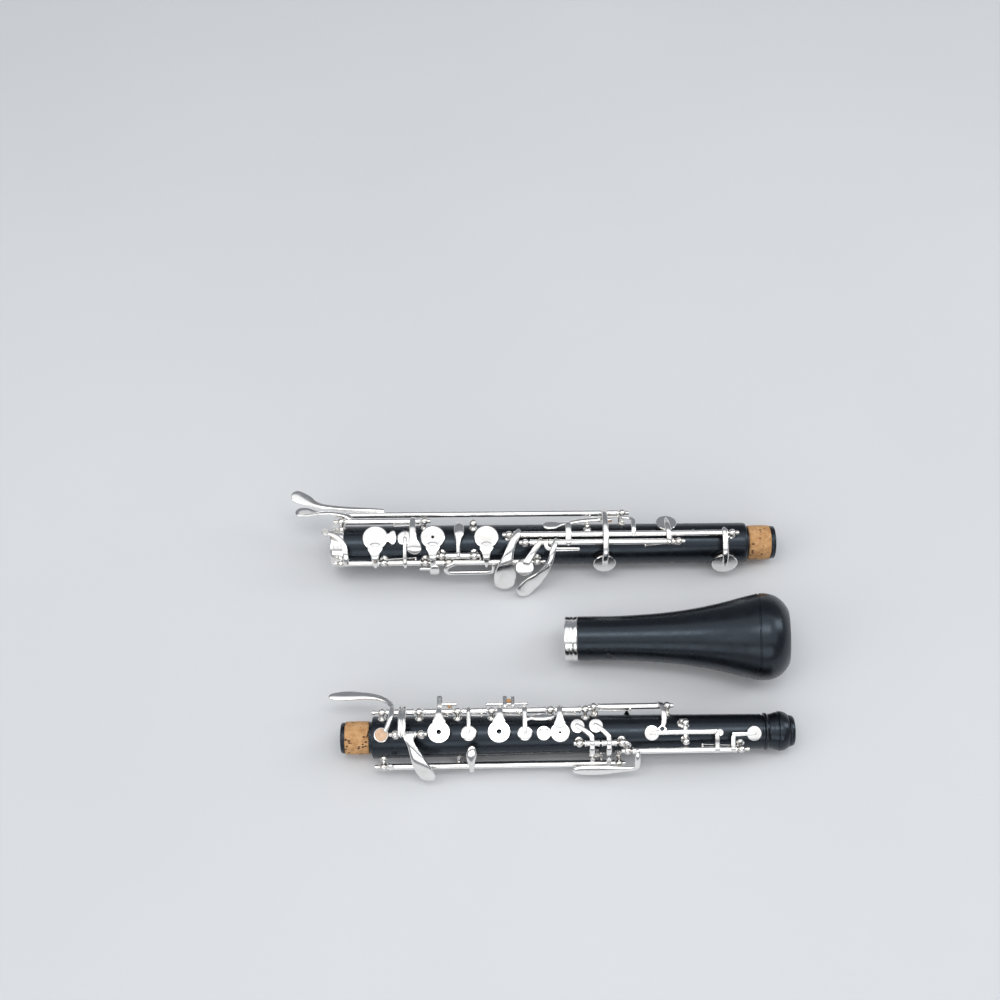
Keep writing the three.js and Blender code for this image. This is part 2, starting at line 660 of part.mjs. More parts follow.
function buildTrillKeys() {
  const half = 3.9;
  for (const { name, rodU, cupU, tail } of TRILLS) {
    add('upper', name, key(ROD_T, [
      tube(ROD_T, rodU - half, rodU + half, 1.5),
      disc(cupU, 1, VENT_R, 3.7, CUP_T, 14),
      strap([[rodU, 40, 14.6, 1.3], [rodU, 24, 14.4, 1.3], [cupU, 3, VENT_R - 0.5, 1.2]], 1.0),
      strap([[rodU, 40, 14.6, 1.4], [rodU, 56, 14.8, 1.4], [rodU, tail.phi, tail.r, 1.4]], 1.0),
    ]), SILVER);
  }
  add('upper', 'd_trill_lever', key(ROD_1, [
    tube(ROD_1, 64.6, 135.1),
    strap([[133, 124, 14.6, 1.3], [133, 112, 13, 1.3], [132.4, 90, 13.1, 1.3]], 0.9),
    strap([[69, 124, 17, 1.2], [69, 101, 18.6, 1.2], [69, 78, 17.2, 1.6]], 1.0),
    strap([[69, 80, 17.2, 1.6], [69, 62, 15.2, 2.2], [69.2, 42, 14.2, 1.6]], 1.0),
  ]), SILVER);
  add('upper', 'c_trill_lever', key(ROD_2, [
    tube(ROD_2, 25.1, 144.1),
    strap([[141, 101, 16.4, 1.3], [141, 88, 15.2, 1.3], [141, 77, 14.7, 1.3]], 1.0),
    strap([[26.4, 101, 16.4, 1.6], [26.4, 78, 16.2, 2.2]], 1.2),
  ]), SILVER);
}

// The octave rocker turns about a pin set across the joint.
const OCTAVE_U = 181;
const OCTAVE_R = 13;

function buildOctaveKeys() {
  const pin = [at(OCTAVE_U, -3.4, OCTAVE_R), at(OCTAVE_U, 40.9, OCTAVE_R)];
  const surface = upperRadius(OCTAVE_U) + GAP;
  add('upper', 'octave_rocker_pivot', join([
    bar(...pin, STEEL_R, 6),
    ...pin.map((place) => ball(place, 1.6)),
    ...[-3.4, 40.9].map((phi) => bar(at(OCTAVE_U, phi, surface), at(OCTAVE_U, phi, OCTAVE_R), 1.1, 8)),
  ]), STEEL);
  const along = pin[1].clone().sub(pin[0]).normalize();
  const middle = pin[0].clone().lerp(pin[1], 0.5);
  const barrel = [-2.6, 2.6].map((step) => middle.clone().addScaledVector(along, step));
  const cut = pin.map((place, i) => place.clone().addScaledVector(along, i ? 20 : -20));
  const rocker = join([
    bar(...barrel, TUBE_R),
    disc(163.3, 20, 12.9, 3.9, CUP_T, 14),
    strap([
      [163.3, 20, 12.3, 1.4],
      [174, 19, 12.9, 1.3],
      [181, 18.7, 13.4, 1.3],
      [199.5, 19, 12.2, 1.6],
    ], 1.0),
  ]);
  add('upper', 'octave_rocker', rocker.subtract(bar(...cut, BORE_R, 8)), SILVER);
  add('upper', 'thumb_octave_key', key(ROD_O, [
    tube(ROD_O, 136.1, 170.1),
    strap([
      [168.6, -58, 15.6, 1.3],
      [169.4, -36, 14.6, 1.3],
      [168.8, -2, 11.6, 1.3],
      [168.4, 14, 10.8, 1.3],
    ], 0.9),
    strap([[152, -58, 15, 2], [152, -90, 13.4, 2.4], [152, -130, 11.2, 4.5], [152, -165, 11, 5]], 1.0),
  ]), SILVER);
  add('upper', 'side_octave_key', key(ROD_S, [
    tube(ROD_S, 153, 207.3),
    strap([[155.4, 58, 15.6, 1.4], [155.4, 78, 17.8, 1.6], [152, 90, 18.8, 2.4]], 1.1),
    strap([
      [156, 88, 18.8, 1.6, 75],
      [142, 94, 19, 2.9, 60],
      [128, 96, 19, 2.8, 60],
      [121.6, 97, 18.8, 1.4, 60],
    ], 1.2),
    strap([[197, 58, 15.4, 1.3], [197, 40, 15.2, 1.3], [197, 20, 15, 1.4]], 1.0),
    strap([
      [205.4, 58, 15.4, 1.2],
      [205.4, 36, 14, 1.2],
      [209, 26, 13.2, 1.2],
      [216.4, 24.6, 12.4, 1.2],
    ], 1.0),
    disc(216.6, 24.6, 12.9, 3.9, CUP_T, 14),
  ]), SILVER);
}

buildLowerBodies();
buildLowerRods();
buildRightHandStack();
buildLeftHandLevers();
buildFootKeys();
buildLowerRocker();
buildThumbRest();
buildBell();
buildUpperBodies();
buildUpperRods();
buildLeftHandStack();
buildGSharp();
buildTrillKeys();
buildOctaveKeys();

// The origin is at the middle of the bottom of the whole layout.
group.updateMatrixWorld(true);
const extent = new THREE.Box3().setFromObject(group, true);
const centre = extent.getCenter(new THREE.Vector3());
group.position.set(-centre.x, -centre.y, -extent.min.z);
group.updateMatrixWorld(true);

export default group;
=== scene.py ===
"""Oboe in its three sections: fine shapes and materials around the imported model."""

import math

import bmesh
import bpy
import numpy as np
from mathutils import Matrix, Vector


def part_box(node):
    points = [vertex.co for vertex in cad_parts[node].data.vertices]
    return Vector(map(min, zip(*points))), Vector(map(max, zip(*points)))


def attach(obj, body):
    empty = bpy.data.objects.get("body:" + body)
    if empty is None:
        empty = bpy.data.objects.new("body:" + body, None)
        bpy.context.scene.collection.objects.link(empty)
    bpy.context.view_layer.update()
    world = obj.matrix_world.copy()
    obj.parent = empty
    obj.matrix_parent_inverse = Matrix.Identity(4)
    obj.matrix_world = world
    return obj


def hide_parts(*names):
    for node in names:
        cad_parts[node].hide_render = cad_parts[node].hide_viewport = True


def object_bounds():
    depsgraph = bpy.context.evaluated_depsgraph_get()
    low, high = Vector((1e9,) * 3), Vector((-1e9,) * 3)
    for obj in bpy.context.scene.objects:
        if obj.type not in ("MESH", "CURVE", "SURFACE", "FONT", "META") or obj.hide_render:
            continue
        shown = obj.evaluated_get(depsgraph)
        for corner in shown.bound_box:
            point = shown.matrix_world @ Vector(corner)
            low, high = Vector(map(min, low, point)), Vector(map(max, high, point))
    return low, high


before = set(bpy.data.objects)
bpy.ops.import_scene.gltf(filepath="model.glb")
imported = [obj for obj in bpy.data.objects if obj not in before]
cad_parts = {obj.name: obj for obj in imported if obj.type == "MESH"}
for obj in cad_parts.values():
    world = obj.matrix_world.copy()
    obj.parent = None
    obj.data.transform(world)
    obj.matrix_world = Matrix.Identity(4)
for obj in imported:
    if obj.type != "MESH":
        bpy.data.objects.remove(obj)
CAD_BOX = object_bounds()

# ---- Places: u along a section, phi from straight up towards -Y, r from its axis, in mm ----
MM = 0.001
DEG = math.pi / 180
X_AXIS = np.array([1.0, 0.0, 0.0])

POINT_RADIUS = 1e-6  # a profile point closer to its axis than this closes the surface
STRAP_STEP = 0.8  # mm between the cross sections of a strap
SHORTEST_END = 0.05  # mm of rounding at a strap's square end
LONGEST_END = 0.3  # of the strap's length, for one rounded end
MERGE_DISTANCE = 1e-7  # metres between points that count as one
SHARP_ANGLE = 38  # degrees between faces that meet in a crisp edge
THINNEST = 1e-3  # mm of width left where a strap runs out
TIP_SHARE = 0.45  # of a strap's thickness, left at its very end
LIGHT_AIM = Vector((0, 0, 0))


def section_places():
    """Each section's origin in mm, tilt and turn in degrees, from the upper joint's own box."""
    low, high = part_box("upper_joint_body")
    upper = np.array([low.x, (low.y + high.y) / 2, (low.z + high.z) / 2]) / MM
    return {
        "upper": (upper, 0.0, 0.0),
        "lower": (upper + np.array([-9.1, 112.4, 3.9]), 0.9, 0.0),
        "bell": (upper + np.array([120.6, 54.7, 1.0]), -5.9, -3.0),
    }


PLACES = section_places()
SECTION_BODY = {"upper": "upper_joint", "lower": "lower_joint", "bell": "bell"}


def to_frame(section, points):
    """Section millimetres to frame metres."""
    origin, tilt, turn = PLACES[section]
    c, s = math.cos(tilt * DEG), math.sin(tilt * DEG)
    tilted = np.array([[c, 0, s], [0, 1, 0], [-s, 0, c]])
    c, s = math.cos(turn * DEG), math.sin(turn * DEG)
    turned_level = np.array([[c, -s, 0], [s, c, 0], [0, 0, 1]])
    return (points @ (turned_level @ tilted).T + origin) * MM


def at(u, phi, r):
    """The point at u along a section, phi round it and r out from its axis."""
    return np.array([u, -r * math.sin(phi * DEG), r * math.cos(phi * DEG)])


def outward(phi):
    """The direction that leads straight out at phi."""
    return at(0, phi, 1)


def unit(v):
    return v / np.linalg.norm(v)


def smooth(x, y, xs):
    """A smooth line through the points (x, y) that never overshoots them, read at xs."""
    gap = np.diff(x)
    rise = np.diff(y) / gap
    slope = np.zeros(len(y))
    slope[0], slope[-1] = rise[0], rise[-1]
    for i in range(1, len(y) - 1):
        if rise[i - 1] * rise[i] > 0:
            slope[i] = 2 * rise[i - 1] * rise[i] / (rise[i - 1] + rise[i])
    i = np.clip(np.searchsorted(x, xs) - 1, 0, len(gap) - 1)
    t = (xs - x[i]) / gap[i]
    return (
        y[i] * (1 + 2 * t) * (1 - t) ** 2
        + gap[i] * slope[i] * t * (1 - t) ** 2
        + y[i + 1] * t**2 * (3 - 2 * t)
        + gap[i] * slope[i + 1] * t**2 * (t - 1)
    )


# ---- Surfaces: each is (points, faces), in a section's millimetres ----
def spin(profile, place, axis, sides=32, ring=False):
    """Turns a profile of (height, radius) about an axis through place."""
    axis = unit(axis)
    helper = X_AXIS if abs(axis[0]) < 0.9 else np.array([0.0, 1.0, 0.0])
    side = unit(np.cross(axis, helper))
    other = np.cross(axis, side)
    angles = np.arange(sides) * 2 * math.pi / sides
    spokes = np.outer(np.cos(angles), side) + np.outer(np.sin(angles), other)
    points, rows = [], []
    for height, radius in profile:
        centre = place + axis * height
        if radius < POINT_RADIUS:
            rows.append([len(points)])
            points.append(centre)
        else:
            rows.append(list(range(len(points), len(points) + sides)))
            points.extend(centre + radius * spokes)
    pairs = list(zip(rows, rows[1:]))
    if ring:
        pairs.append((rows[-1], rows[0]))
    faces = []
    for low, high in pairs:
        for k in range(sides):
            n = (k + 1) % sides
            if len(low) == 1:
                faces.append([low[0], high[k], high[n]])
            elif len(high) == 1:
                faces.append([low[k], low[n], high[0]])
            else:
                faces.append([low[k], low[n], high[n], high[k]])
    return np.array(points), faces


def distances(places):
    """Each place's distance along the line through them."""
    gaps = np.linalg.norm(np.diff(places, axis=0), axis=1)
    return np.concatenate([[0], np.cumsum(gaps)])


def curved(points, step):
    """A profile with a smooth line through its points, sampled about every step mm."""
    table = np.array(points, float)
    along = distances(table)
    samples = np.linspace(0, along[-1], max(3, int(along[-1] / step) + 1))
    return list(zip(smooth(along, table[:, 0], samples), smooth(along, table[:, 1], samples)))


def raised(profile, u, phi, sides, ring=False):
    """A piece turned about the line that leads out at u and phi, from (r, radius) points."""
    return spin(profile, at(u, 0, 0), outward(phi), sides, ring)


def turned(profile, sides=96):
    """A piece turned about the section's own axis, from (u, r) points."""
    return spin(profile, np.zeros(3), X_AXIS, sides, ring=True)


def cylinder(start, end, radius, sides=16, edge=0.12):
    """A round bar from start to end, with its rims broken by edge."""
    length = np.linalg.norm(end - start)
    edge = min(edge, radius * 0.4, length * 0.3)
    profile = [
        (0, 0), (0, radius - edge), (edge, radius), (length - edge, radius),
        (length, radius - edge), (length, 0),
    ]
    return spin(profile, start, end - start, sides)


def outline(half_width, thickness, crown):
    """The points round a strap's section: flat with rounded edges, its back raised by crown."""
    corner = max(min(thickness / 2, half_width) * 0.9, THINNEST)
    wide, tall = half_width - corner, thickness / 2 - corner
    points = []
    for quarter, (x, y) in enumerate([(wide, tall), (-wide, tall), (-wide, -tall), (wide, -tall)]):
        for k in range(4):
            angle = (quarter * 90 + k * 30) * DEG
            points.append((x + corner * math.cos(angle), y + corner * math.sin(angle)))
        if quarter in (0, 2):
            step = -wide / 2 if quarter == 0 else wide / 2
            edge = corner if quarter == 0 else -corner
            points.extend((x + step * k, y + edge) for k in (1, 2, 3))
    lift = max(half_width, THINNEST)
    return [(x, y + crown * (1 - min(1.0, (x / lift) ** 2))) for x, y in points]


def loft(stations, thickness=1.1, crown=0.0, ends=(1, 1)):
    """A strap through stations of u, phi, r, half width and, where they change, thickness and
    the angle that its flat side faces. ends says how rounded its two ends are, from 0 to 1."""
    rows = [list(s) + [thickness] * (5 - len(s)) + [s[1]] * (len(s) < 6) for s in stations]
    table = np.array(rows, float)
    along = distances([at(*row[:3]) for row in table])
    length = along[-1]
    first = min(max(table[0, 3] * ends[0], SHORTEST_END), length * LONGEST_END)
    last = min(max(table[-1, 3] * ends[1], SHORTEST_END), length * LONGEST_END)
    bend = 1 - np.cos(np.linspace(0.12, math.pi / 2, 6)[:-1])
    middle = np.linspace(first, length - last, max(4, int((length - first - last) / STRAP_STEP)))
    s = np.concatenate([first * bend, middle, length - last * bend[::-1]])
    u, phi, r, half, thick, face = [smooth(along, table[:, k], s) for k in range(6)]
    centres = np.array([at(*p) for p in zip(u, phi, r)])
    forward = np.gradient(centres, s, axis=0)
    across = X_AXIS
    points = []
    for i, centre in enumerate(centres):
        ahead = unit(forward[i])
        side = np.cross(ahead, outward(face[i]))
        if np.linalg.norm(side) > 0.3:
            across = unit(side)
        else:
            across = unit(across - ahead * (across @ ahead))
        up = np.cross(across, ahead)
        from_start, from_end = 1 - s[i] / first, 1 - (length - s[i]) / last
        pinch = math.sqrt(max(0.0, 1 - max(from_start, from_end, 0.0) ** 2))
        ring = outline(half[i] * pinch, thick[i] * (TIP_SHARE + (1 - TIP_SHARE) * pinch), crown * pinch)
        points.extend(centre + across * x + up * y for x, y in ring)
    count = len(ring)
    faces = [list(range(count)), list(range(len(points) - count, len(points)))]
    for i in range(len(centres) - 1):
        for k in range(count):
            a, b = i * count + k, i * count + (k + 1) % count
            faces.append([a, b, b + count, a + count])
    return np.array(points), faces


# ---- Objects ----
def make(name, section, surfaces, finish, body=None, nodes=()):
    """One object from several surfaces, riding on a CAD body in place of CAD nodes."""
    material, slot = finish
    points, faces, count = [], [], 0
    for part, part_faces in surfaces:
        points.append(part)
        faces.extend([i + count for i in face] for face in part_faces)
        count += len(part)
    mesh = bpy.data.meshes.new(name)
    mesh.from_pydata(to_frame(section, np.concatenate(points)).tolist(), [], faces)
    work = bmesh.new()
    work.from_mesh(mesh)
    bmesh.ops.remove_doubles(work, verts=work.verts, dist=MERGE_DISTANCE)
    bmesh.ops.dissolve_degenerate(work, edges=work.edges, dist=MERGE_DISTANCE)
    bmesh.ops.recalc_face_normals(work, faces=work.faces)
    work.to_mesh(mesh)
    work.free()
    mesh.shade_smooth()
    mesh.set_sharp_from_angle(angle=SHARP_ANGLE * DEG)
    mesh.materials.append(material)
    piece = bpy.data.objects.new(name, mesh)
    bpy.context.scene.collection.objects.link(piece)
    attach(piece, body or SECTION_BODY[section])
    if nodes:
        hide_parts(*nodes)


def replace(node, section, surfaces, finish):
    """The fine version of one CAD node that belongs to its section's own body."""
    make(f"{node}_fine", section, surfaces, finish, nodes=[node])


# ---- Materials ----
class Nodes:
    """A material with a Principled shader and short ways to add nodes to it."""

    def __init__(self, name, **inputs):
        self.material = bpy.data.materials.new(name)
        self.material.use_nodes = True
        self.tree = self.material.node_tree
        self.shader = self.tree.nodes["Principled BSDF"]
        self.fill(self.shader, inputs)
        self.coordinates = self.node("ShaderNodeTexCoord").outputs["Object"]

    def fill(self, node, inputs):
        """Sets the node's sockets, or links them to other nodes' outputs."""
        for key, value in inputs.items():
            socket = node.inputs[key.replace("_", " ")]
            if isinstance(value, bpy.types.NodeSocket):
                self.tree.links.new(value, socket)
            else:
                socket.default_value = value

    def node(self, kind, **inputs):
        made = self.tree.nodes.new(kind)
        self.fill(made, inputs)
        return made

    def link(self, output, socket):
        self.tree.links.new(output, self.shader.inputs[socket])

    def noise(self, scale, stretch=(1, 1, 1), detail=4.0, roughness=0.5, distortion=0.0):
        place = self.node("ShaderNodeMapping", Vector=self.coordinates, Scale=stretch)
        made = self.node("ShaderNodeTexNoise", Vector=place.outputs[0], Scale=scale, Detail=detail,
                         Roughness=roughness, Distortion=distortion)
        return made.outputs["Fac"]

    def span(self, value, low, high, to_low, to_high):
        """The value, stretched so that low becomes to_low and high becomes to_high."""
        made = self.node("ShaderNodeMapRange", Value=value, From_Min=low, From_Max=high,
                         To_Min=to_low, To_Max=to_high)
        return made.outputs["Result"]

    def colour(self, pattern, stops):
        self.link(self.ramp(pattern, stops), "Base Color")

    def ramp(self, value, stops):
        made = self.node("ShaderNodeValToRGB", Fac=value)
        bar = made.color_ramp
        while len(bar.elements) < len(stops):
            bar.elements.new(0.5)
        for element, (place, colour) in zip(bar.elements, stops):
            element.position = place
            element.color = (*colour, 1)
        return made.outputs["Color"]

    def bump(self, height, strength, distance, normal=None):
        made = self.node("ShaderNodeBump", Strength=strength, Distance=distance, Height=height)
        if normal:
            self.tree.links.new(normal, made.inputs["Normal"])
        return made.outputs["Normal"]

    def mix(self, pattern, colour, factor):
        """The pattern's colour, turning into a plain colour where factor is 1."""
        made = self.tree.nodes.new("ShaderNodeMix")
        made.data_type = "RGBA"
        # Sockets 0, 6 and 7 take the factor and the two colours.
        self.tree.links.new(factor, made.inputs[0])
        self.tree.links.new(pattern, made.inputs[6])
        made.inputs[7].default_value = (*colour, 1)
        return made.outputs[2]


def resin_material():
    """Satin black resin: fine turning marks round the bore, faint handling marks and dust."""
    m = Nodes("black_resin", Specular_IOR_Level=0.6, Specular_Tint=(0.7, 0.84, 1, 1))
    blacks = [(0.3, (0.0025, 0.003, 0.004)), (0.7, (0.005, 0.0058, 0.0075))]
    m.colour(m.noise(45, detail=5), blacks)
    m.link(m.span(m.noise(160, detail=6), 0.3, 0.7, 0.22, 0.34), "Roughness")
    rings = m.noise(2600, stretch=(1, 0.02, 0.02), detail=2)
    grain = m.noise(5200, detail=2)
    m.link(m.bump(grain, 0.1, 0.00004, m.bump(rings, 0.16, 0.00005)), "Normal")
    return m.material


def silver_material():
    """Polished silver plate: soft smudges, hairline scratches and a little warm tarnish."""
    m = Nodes("silver_plate", Metallic=1.0)
    silvers = [(0.3, (0.87, 0.84, 0.8)), (0.46, (0.94, 0.93, 0.91)), (0.8, (0.965, 0.96, 0.955))]
    m.colour(m.noise(120, detail=5, distortion=0.6), silvers)
    m.link(m.span(m.noise(260, detail=6), 0.3, 0.75, 0.1, 0.24), "Roughness")
    wave = m.noise(180, detail=1)
    hairs = m.noise(2400, stretch=(0.05, 1, 1), detail=3, distortion=1.2)
    m.link(m.bump(hairs, 0.1, 0.00003, m.bump(wave, 0.12, 0.0004)), "Normal")
    return m.material


def steel_material():
    """Turned steel: plain grey with fine rings and duller patches."""
    m = Nodes("hinge_steel", Metallic=1.0)
    patch = m.noise(200, detail=5)
    greys = [(0.3, (0.74, 0.7, 0.65)), (0.6, (0.9, 0.885, 0.86))]
    m.colour(patch, greys)
    m.link(m.span(patch, 0.3, 0.7, 0.26, 0.14), "Roughness")
    rings = m.noise(3000, stretch=(1, 0.1, 0.1), detail=2)
    m.link(m.bump(rings, 0.12, 0.00004), "Normal")
    return m.material


def cork_material():
    """Tan cork: mottled, with dark elongated pores in loose clusters."""
    m = Nodes("cork", Roughness=0.86)
    tans = [(0.3, (0.36, 0.175, 0.068)), (0.5, (0.54, 0.295, 0.125)), (0.72, (0.66, 0.40, 0.195))]
    pore_colour = (0.045, 0.016, 0.007)
    pore_core, pore_rim = 0.26, 0.38
    mottle = m.ramp(m.noise(320, detail=8, roughness=0.62), tans)
    warped = m.node("ShaderNodeMapping", Vector=m.coordinates, Scale=(0.62, 1, 1), Rotation=(0.3, 0.2, 0.9))
    cells = m.node("ShaderNodeTexVoronoi", Vector=warped.outputs[0], Scale=640)
    cluster = m.noise(210, detail=2)
    pore = m.node("ShaderNodeMath", Value=cells.outputs["Distance"])
    m.tree.links.new(m.span(cluster, 0.36, 0.52, 0.5, 0.0), pore.inputs[1])
    dark = m.span(pore.outputs[0], pore_core, pore_rim, 1.0, 0.0)
    m.link(m.mix(mottle, pore_colour, dark), "Base Color")
    pits = m.bump(m.span(pore.outputs[0], pore_core, pore_rim, 0.0, 1.0), 0.5, 0.0003)
    m.link(m.bump(m.noise(1500, detail=5), 0.35, 0.00015, pits), "Normal")
    return m.material


def leather_material():
    """Tan pad skin with a fine grain and darker handling."""
    m = Nodes("pad_leather", Roughness=0.62)
    browns = [(0.3, (0.20, 0.105, 0.048)), (0.7, (0.47, 0.30, 0.165))]
    m.colour(m.noise(420, detail=6), browns)
    m.link(m.bump(m.noise(2600, detail=4), 0.3, 0.0001), "Normal")
    return m.material


def pad_skin_material():
    """Pale pad skin: smooth and pinkish, with a faint mottle."""
    m = Nodes("pad_skin", Roughness=0.55)
    pinks = [(0.3, (0.60, 0.38, 0.235)), (0.7, (0.76, 0.53, 0.36))]
    m.colour(m.noise(500, detail=5), pinks)
    m.link(m.bump(m.noise(3000, detail=3), 0.2, 0.0001), "Normal")
    return m.material


# Each finish is a material and the name of a CAD slot.
RESIN = (resin_material(), "black_resin")
SILVER = (silver_material(), "silver_plate")
STEEL = (steel_material(), "hinge_steel")
CORK = (cork_material(), "cork")
LEATHER = (leather_material(), "pad_leather")
PAD_SKIN = (pad_skin_material(), "pad_leather")

# ---- Parts of keys ----
PLATE_R = 14.6  # outer face of a finger plate on the lower joint
UP_PLATE_R = 14.1  # the same on the upper joint
VENT_R = 13.4  # outer face of a small vent disc
TUBE_R = 1.65  # outside of a key's tube
TUBE_BORE = 0.8  # inside of a key's tube, round its rod
CUP_T = 1.1  # thickness of a plate or pad cup
PAD_T = 0.7  # thickness of a pad
HEAD_R = 2.1  # ball of a post
ROD_RADIUS = 0.75  # steel rod inside the tubes


def tube(rod, start, end, radius=TUBE_R):
    """The tube of a key on its rod, with a turned collar at each end."""
    collar = radius + 0.28
    profile = [(start, TUBE_BORE), (start, collar - 0.15), (start + 0.15, collar), (start + 0.75, collar),
               (start + 0.95, radius), (end - 0.95, radius), (end - 0.75, collar), (end - 0.15, collar),
               (end, collar - 0.15), (end, TUBE_BORE)]
    return spin(profile, at(0, *rod), X_AXIS, 24, ring=True)


def plate(u, phi, r, radius, hole=0.0):
    """A finger plate: a shallow dish with a rolled edge, and a hole in the middle of some."""
    dish = r - 0.36
    under = r - CUP_T
    profile = [
        (dish, radius * 0.62), (dish + 0.05, radius * 0.68), (r - 0.05, radius * 0.80),
        (r, radius * 0.88), (r - 0.06, radius * 0.97), (r - 0.24, radius), (under + 0.2, radius),
        (under, radius - 0.2),
    ]
    if hole:
        profile = [(under, hole), (dish - 0.16, hole), (dish - 0.01, hole + 0.07), *profile]
    else:
        profile = [(dish - 0.03, 0), *profile, (under, 0)]
    return raised(profile, u, phi, 48, bool(hole))


def dome(u, phi, r, radius, height, face=None):
    """A pad cup: a low dome over a straight rim, facing outward or towards the angle face."""
    profile = [(height, 0)]
    for share in (0.2, 0.4, 0.6, 0.78, 0.9, 0.96):
        profile.append((height * (1 - share**2.2) - 0.05, radius * share))
    profile += [(-0.28, radius), (0.15 - CUP_T, radius), (-CUP_T, radius - 0.15), (-CUP_T, 0)]
    return spin(profile, at(u, phi, r), outward(phi if face is None else face), 48)


def pad_disc(u, phi, face, radius, hole=0.0):
    """A pad under a cup whose rim starts at face, pierced under an open plate."""
    top = face - CUP_T + 0.02
    low = face - CUP_T - PAD_T + 0.15
    profile = [
        (top, hole), (top, radius), (top - 0.3, radius + 0.12), (low + 0.25, radius + 0.1),
        (low, radius - 0.25), (low + 0.08, radius * 0.75), (low + 0.1, hole),
    ]
    return raised(profile, u, phi, 40, bool(hole))


def post(u, rod, surface, head=HEAD_R):
    """A ball post: a flared foot on the body, a thin neck, a collar and a ball."""
    phi, r = rod
    ball_sweep, ball_steps = math.pi - math.acos(0.9), 10
    foot = surface - 0.5
    neck_end = r - head * 0.9
    profile = [
        (foot, 0), (foot, 2.25), (surface + 0.28, 2.25), (surface + 0.42, 2.05),
        (surface + 0.8, 1.45), (surface + 1.3, 1.05),
    ]
    if neck_end > surface + 1.7:
        profile += [(neck_end - 0.35, 0.95), (neck_end - 0.1, 1.1)]
    for k in range(ball_steps + 1):
        angle = ball_sweep - ball_sweep * k / ball_steps
        profile.append((r + head * math.cos(angle), head * math.sin(angle)))
    profile[-1] = (r + head, 0)
    return raised(profile, u, phi, 24)


def slotted(place, axis, radius, height):
    """A slotted screw head: a disc with two half moons on it."""
    slot, steps = 0.32, 10
    axis = unit(axis)
    helper = X_AXIS if abs(axis[0]) < 0.9 else np.array([0.0, 0.6, 0.8])
    side = unit(np.cross(axis, helper))
    other = np.cross(axis, side)
    surfaces = [cylinder(place - axis * 0.2, place + axis * height * 0.5, radius, 20, 0.05)]
    start = math.asin(slot / 2 / radius)
    for sign in (1, -1):
        arc = [start + (math.pi - 2 * start) * k / steps for k in range(steps + 1)]
        flat = [
            side * math.cos(a) * radius * 0.97 + other * math.sin(a) * radius * 0.97 * sign
            for a in arc
        ]
        low = [place + p + axis * height * 0.45 for p in flat]
        high = [place + p * 0.94 + axis * height for p in flat]
        n = len(flat)
        faces = [list(range(n)), list(range(n, 2 * n))]
        faces += [[k, (k + 1) % n, n + (k + 1) % n, n + k] for k in range(n)]
        surfaces.append((np.array(low + high), faces))
    return surfaces


def hinge(rod, posts, surface, stubs, head=HEAD_R):
    """A steel rod, its ball posts, and the screw ends that show past the outer posts."""
    start, end = posts[0] - head - stubs[0], posts[-1] + head + stubs[1]
    surfaces = [post(u, rod, surface(u), head) for u in posts]
    surfaces.append(cylinder(at(start, *rod), at(end, *rod), ROD_RADIUS))
    for u, way in ((start, -1), (end, 1)):
        tip = at(u, *rod)
        surfaces.append(cylinder(at(u - way * 1.4, *rod), tip, 1.15, 18))
        surfaces += slotted(tip, X_AXIS * way, 1.1, 0.35)
    return surfaces


def needle(rod, surface, start, end, side):
    """A needle spring beside a rod, with the little hook on the tube that it bears on."""
    phi, r = rod
    low = r - 1.9
    place = phi + side * 9
    wire = cylinder(at(start, phi + side * 4, low), at(end, place, low + 0.2), 0.27, 8)
    hook_u = end - 0.4
    hook = loft([[hook_u, phi + side * 2, r - 0.8, 0.7], [hook_u, place + side * 3, low + 0.3, 0.45]], 0.9)
    foot = cylinder(at(start, phi, surface), at(start, phi + side * 4, low + 0.3), 0.5, 10)
    return [wire, hook, foot]


def plate_arm(rod, u, phi, r, radius, rod_u=None, root=1.5, spread=0.66):
    """The arm from a rod's tube that widens into a finger plate, with a pointed heel."""
    rod_phi, rod_r = rod
    rod_u = u if rod_u is None else rod_u
    way = 1 if rod_phi > phi else -1

    turn = abs(rod_phi - phi) * DEG
    rod_across = rod_r * math.sin(turn)
    rod_top = rod_r * math.cos(turn) + 1.9
    shoulder = radius + 0.6 * (rod_across - radius + 1)

    stations = [
        [rod_u, rod_phi + way * 12, rod_r + 0.5, 0.35, 0.8],
        [rod_u, rod_phi + way * 5, rod_r + 1.25, 1.0, 1.3],
        [rod_u, rod_phi - way * 1, rod_r + 1.45, root, 1.3],
    ]
    level = r - 0.75
    for across, height, width in (
        (shoulder, level - 0.22 * (r - rod_top), max(root, radius * 0.3)),
        (radius + 1.8, level - 0.1, max(root, radius * 0.42)),
        (radius + 0.2, level, radius * 0.58),
        (radius * 0.75, level, radius * spread),
        (radius * 0.4, level, radius * spread),
    ):
        share = min(1.0, max(0.0, (radius + 3 - across) / 3))
        place = [rod_u + (u - rod_u) * share, phi + way * math.atan(across / height) / DEG]
        stations.append([*place, math.hypot(across, height), width, 1.1])
    return loft(stations, crown=0.12)


def finger(rod, place, r, radius, hole=0.0, **arm):
    """A finger plate at place and its arm from the rod."""
    return [plate(*place, r, radius, hole), plate_arm(rod, *place, r, radius, **arm)]


